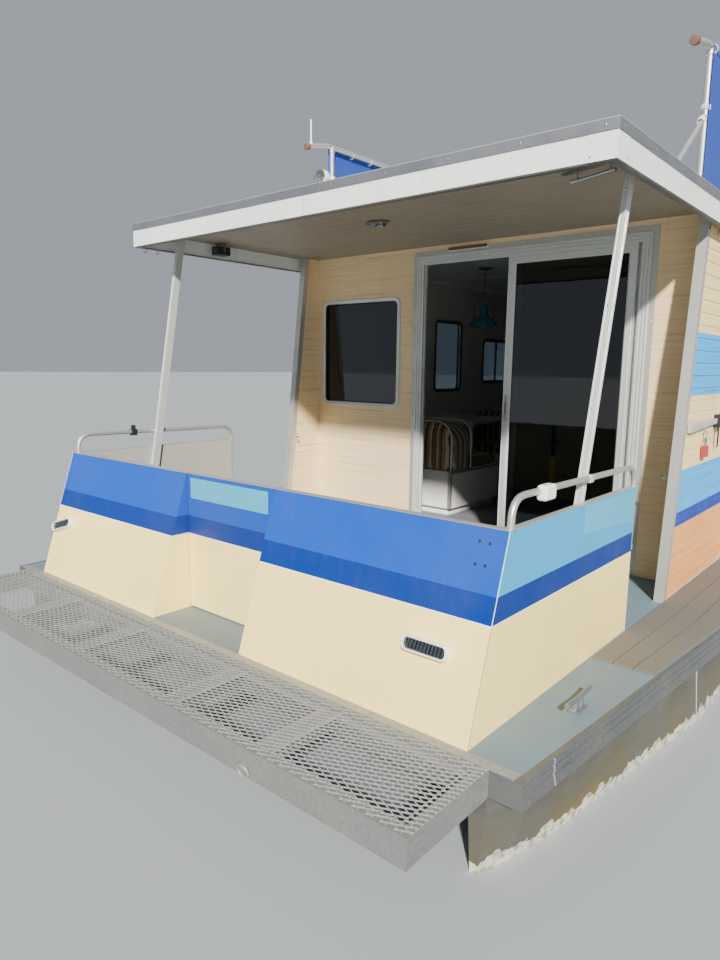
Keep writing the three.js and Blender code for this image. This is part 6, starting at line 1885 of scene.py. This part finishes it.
# %% Pendant lamp
HANG = Vector((1.430, -0.600, 0))
SHADE = [(0, 2.186), (0.020, 2.185), (0.033, 2.176), (0.036, 2.150), (0.037, 2.108), (0.052, 2.088), (0.088, 2.060),
         (0.118, 2.030), (0.129, 2.004), (0.130, 1.998), (0.127, 1.998), (0.1255, 2.004), (0.115, 2.028),
         (0.086, 2.057), (0.049, 2.085), (0.033, 2.104), (0.032, 2.150), (0, 2.160)]
BULB = [(0, 2.020), (0.018, 2.024), (0.028, 2.040), (0.029, 2.056), (0.020, 2.080), (0.013, 2.100), (0.013, 2.150),
        (0, 2.150)]
ROSE = [(0, 2.4936), (0.062, 2.4936), (0.060, 2.484), (0.020, 2.474), (0, 2.472)]
LINK_PITCH = 0.0225
LINKS = int((2.480 - 2.262) / LINK_PITCH)
Shape().turned(SHADE, HANG, sides=48).make("pendant_shade", "teal_enamel", stands_for="pendant_lamp")
yoke = Shape()
for sign in (1, -1):
    wire = [(0, sign * 0.100, 2.048), (0, sign * 0.100, 2.190), (0, 0, 2.258)]
    yoke.tube([HANG + Vector(p) for p in wire], 0.0026, 0.03, 8)
for k in range(LINKS):
    across = Vector((1, 0, 0)) if k % 2 else Vector((0, 1, 0))
    middle = HANG + Vector((0, 0, 2.266 + k * LINK_PITCH))
    loop = [middle + across * (0.0085 * math.cos(a)) + Vector((0, 0, 0.0145 * math.sin(a))) for a in around(12)]
    yoke.tube(loop, 0.0019, sides=6, closed=True)
yoke.turned(ROSE, HANG).make("pendant_yoke", "dark_metal")
Shape().turned(BULB, HANG, sides=24).make("pendant_bulb", "lamp_plastic")
print("chain links:", LINKS)

# %% [markdown]
# ## Outboard motor
# The cowl is a stack of round-cornered loops, with a groove where the top lifts off its pan. The leg is a set of
# streamlined sections, the gearcase is turned, and each propeller blade is a row of thin sections that twist from
# hub to tip.

# %% Outboard motor
STEER_X, LEG_X, PROP_X, PROP_Z = -5.475, -5.550, -5.775, -0.330
# Columns: height, fore and aft edges behind the steering axis, half width
COWL_LEVELS = [
    (0.566, -0.030, 0.215, 0.100), (0.574, -0.055, 0.235, 0.126), (0.610, -0.082, 0.262, 0.143),
    (0.690, -0.105, 0.288, 0.150), (0.694, -0.100, 0.283, 0.145), (0.706, -0.100, 0.283, 0.145),
    (0.710, -0.108, 0.292, 0.153), (0.800, -0.107, 0.294, 0.156), (0.880, -0.088, 0.291, 0.155),
    (0.950, -0.052, 0.282, 0.149), (0.998, -0.008, 0.264, 0.134), (1.020, 0.028, 0.242, 0.112),
    (1.030, 0.064, 0.206, 0.074),
]
# Columns: aft and fore edges from the leg's middle, half width, height
LEG_LEVELS = [(-0.055, 0.035, 0.045, 0.580), (-0.066, 0.035, 0.045, 0.300), (-0.080, 0.036, 0.044, 0.110),
              (-0.080, 0.040, 0.030, 0.060), (-0.078, 0.042, 0.022, 0.020), (-0.070, 0.050, 0.022, -0.140),
              (-0.060, 0.060, 0.022, -0.330)]
GEARCASE = [(0, 0.210), (0.012, 0.206), (0.026, 0.192), (0.037, 0.165), (0.044, 0.130), (0.0475, 0.070), (0.048, 0),
            (0.046, -0.080), (0.043, -0.120), (0.040, -0.150), (0, -0.150)]
PLATE = [(-0.190, -0.050), (-0.120, -0.095), (0.010, -0.070), (0.040, -0.020), (0.040, 0.020), (0.010, 0.070),
         (-0.120, 0.095), (-0.190, 0.050)]
SKEG = [(0.058, PROP_Z), (0.010, -0.430), (-0.022, -0.478), (-0.058, -0.478), (-0.058, PROP_Z)]
loops = []
for z, fore, aft, half in COWL_LEVELS:
    outline = shifted(rounded(aft - fore, 2 * half, 0.72 * half, 8), STEER_X - (fore + aft) / 2, 0)
    loops.append([(x, y, z) for x, y in outline])
Shape().loft(loops).make("motor_cowl", "motor_paint", "motor_steer", bevel=0.0015, stands_for="motor")
print("cowl levels:", len(COWL_LEVELS))

# %% Leg, gearcase and fins
def leg_section(aft, fore, half, z, count=28):
    """A streamlined loop, fuller ahead than behind."""
    middle, reach = LEG_X + (aft + fore) / 2, (fore - aft) / 2
    turns = [(math.cos(angle), math.sin(angle)) for angle in around(count)]
    return [(middle + reach * c, half * s * (0.78 + 0.22 * c), z) for c, s in turns]


leg = Shape().loft([leg_section(*level) for level in LEG_LEVELS])
leg.turned(GEARCASE, (LEG_X - 0.040, 0, PROP_Z), (1, 0, 0), 40)
leg.disc(0.009, -0.262, -0.060, (LEG_X, 0, PROP_Z), (1, 0, 0), 20)
leg.disc(0.020, 0.060, 0.580, (STEER_X, 0, 0), sides=28)
leg.make("motor_leg", "motor_paint", "motor_steer")
fins = Shape().prism(shifted(PLATE, LEG_X, 0), "Z", -0.149, -0.140)
fins.prism(shifted(SKEG, LEG_X, 0), "Y", -0.005, 0.005)
fins.box((STEER_X - 0.060, -0.039, 0.472), (STEER_X + 0.030, 0.039, 0.568))
fins.box((LEG_X - 0.055, -0.039, 0.062), (STEER_X + 0.030, 0.039, 0.118))
fins.make("motor_fins", "motor_paint", "motor_steer", bevel=0.004)
latch = Shape().box((STEER_X - 0.302, -0.022, 0.672), (STEER_X - 0.284, 0.022, 0.742))
latch.make("cowl_latch", "rail_metal", "motor_steer", bevel=0.003)
print("motor height", round(0.478 + 1.038, 2), "m")

# %% Propeller
HUB = [(0.0096, 0.030), (0.030, 0.030), (0.0375, 0.020), (0.038, -0.010), (0.034, -0.026), (0.028, -0.030),
       (0.0096, -0.030), (0.0096, 0.030)]
BLADES, STATIONS, HUB_REACH, BLADE_REACH = 3, 8, 0.030, 0.115
prop_at = Vector((PROP_X, 0, PROP_Z))


def blade_section(share):
    """A thin twisted loop at a share of the way from the blade's root to its tip."""
    chord = 0.030 + 0.058 * math.sin(math.pi * min(1, 0.25 + 0.72 * share)) ** 0.8
    pitch, thick = math.radians(62 - 38 * share), 0.0055 - 0.0040 * share
    loop = []
    for angle in around(14):
        a, b = chord / 2 * math.cos(angle), thick / 2 * math.sin(angle)
        swept = (a - 0.012 * share) * math.cos(pitch) - b * math.sin(pitch)
        loop.append(Vector((a * math.sin(pitch) * 0.42 + b * math.cos(pitch), swept, HUB_REACH + BLADE_REACH * share)))
    return loop


hub = Shape().turned(HUB, prop_at, (1, 0, 0), 40)
for turn in around(BLADES):
    spin = Matrix.Rotation(turn, 3, "X")
    hub.loft([[prop_at + spin @ spot for spot in blade_section(k / (STATIONS - 1))] for k in range(STATIONS)])
hub.make("propeller_cast", "frame_metal", "propeller", bevel=0.0008, stands_for="propeller")
print("propeller reach", HUB_REACH + BLADE_REACH, "m")

# %% [markdown]
# ## Screws
# Every trim above noted its screw places in one list, and now one Geometry Nodes tree grows a head on each.

# %% Screws
spots, facings = zip(*screws)
screw_growth(0.005, 0.0026).grow("screws_hull", spots, "chrome", facing=facings)
print("screws:", len(spots))
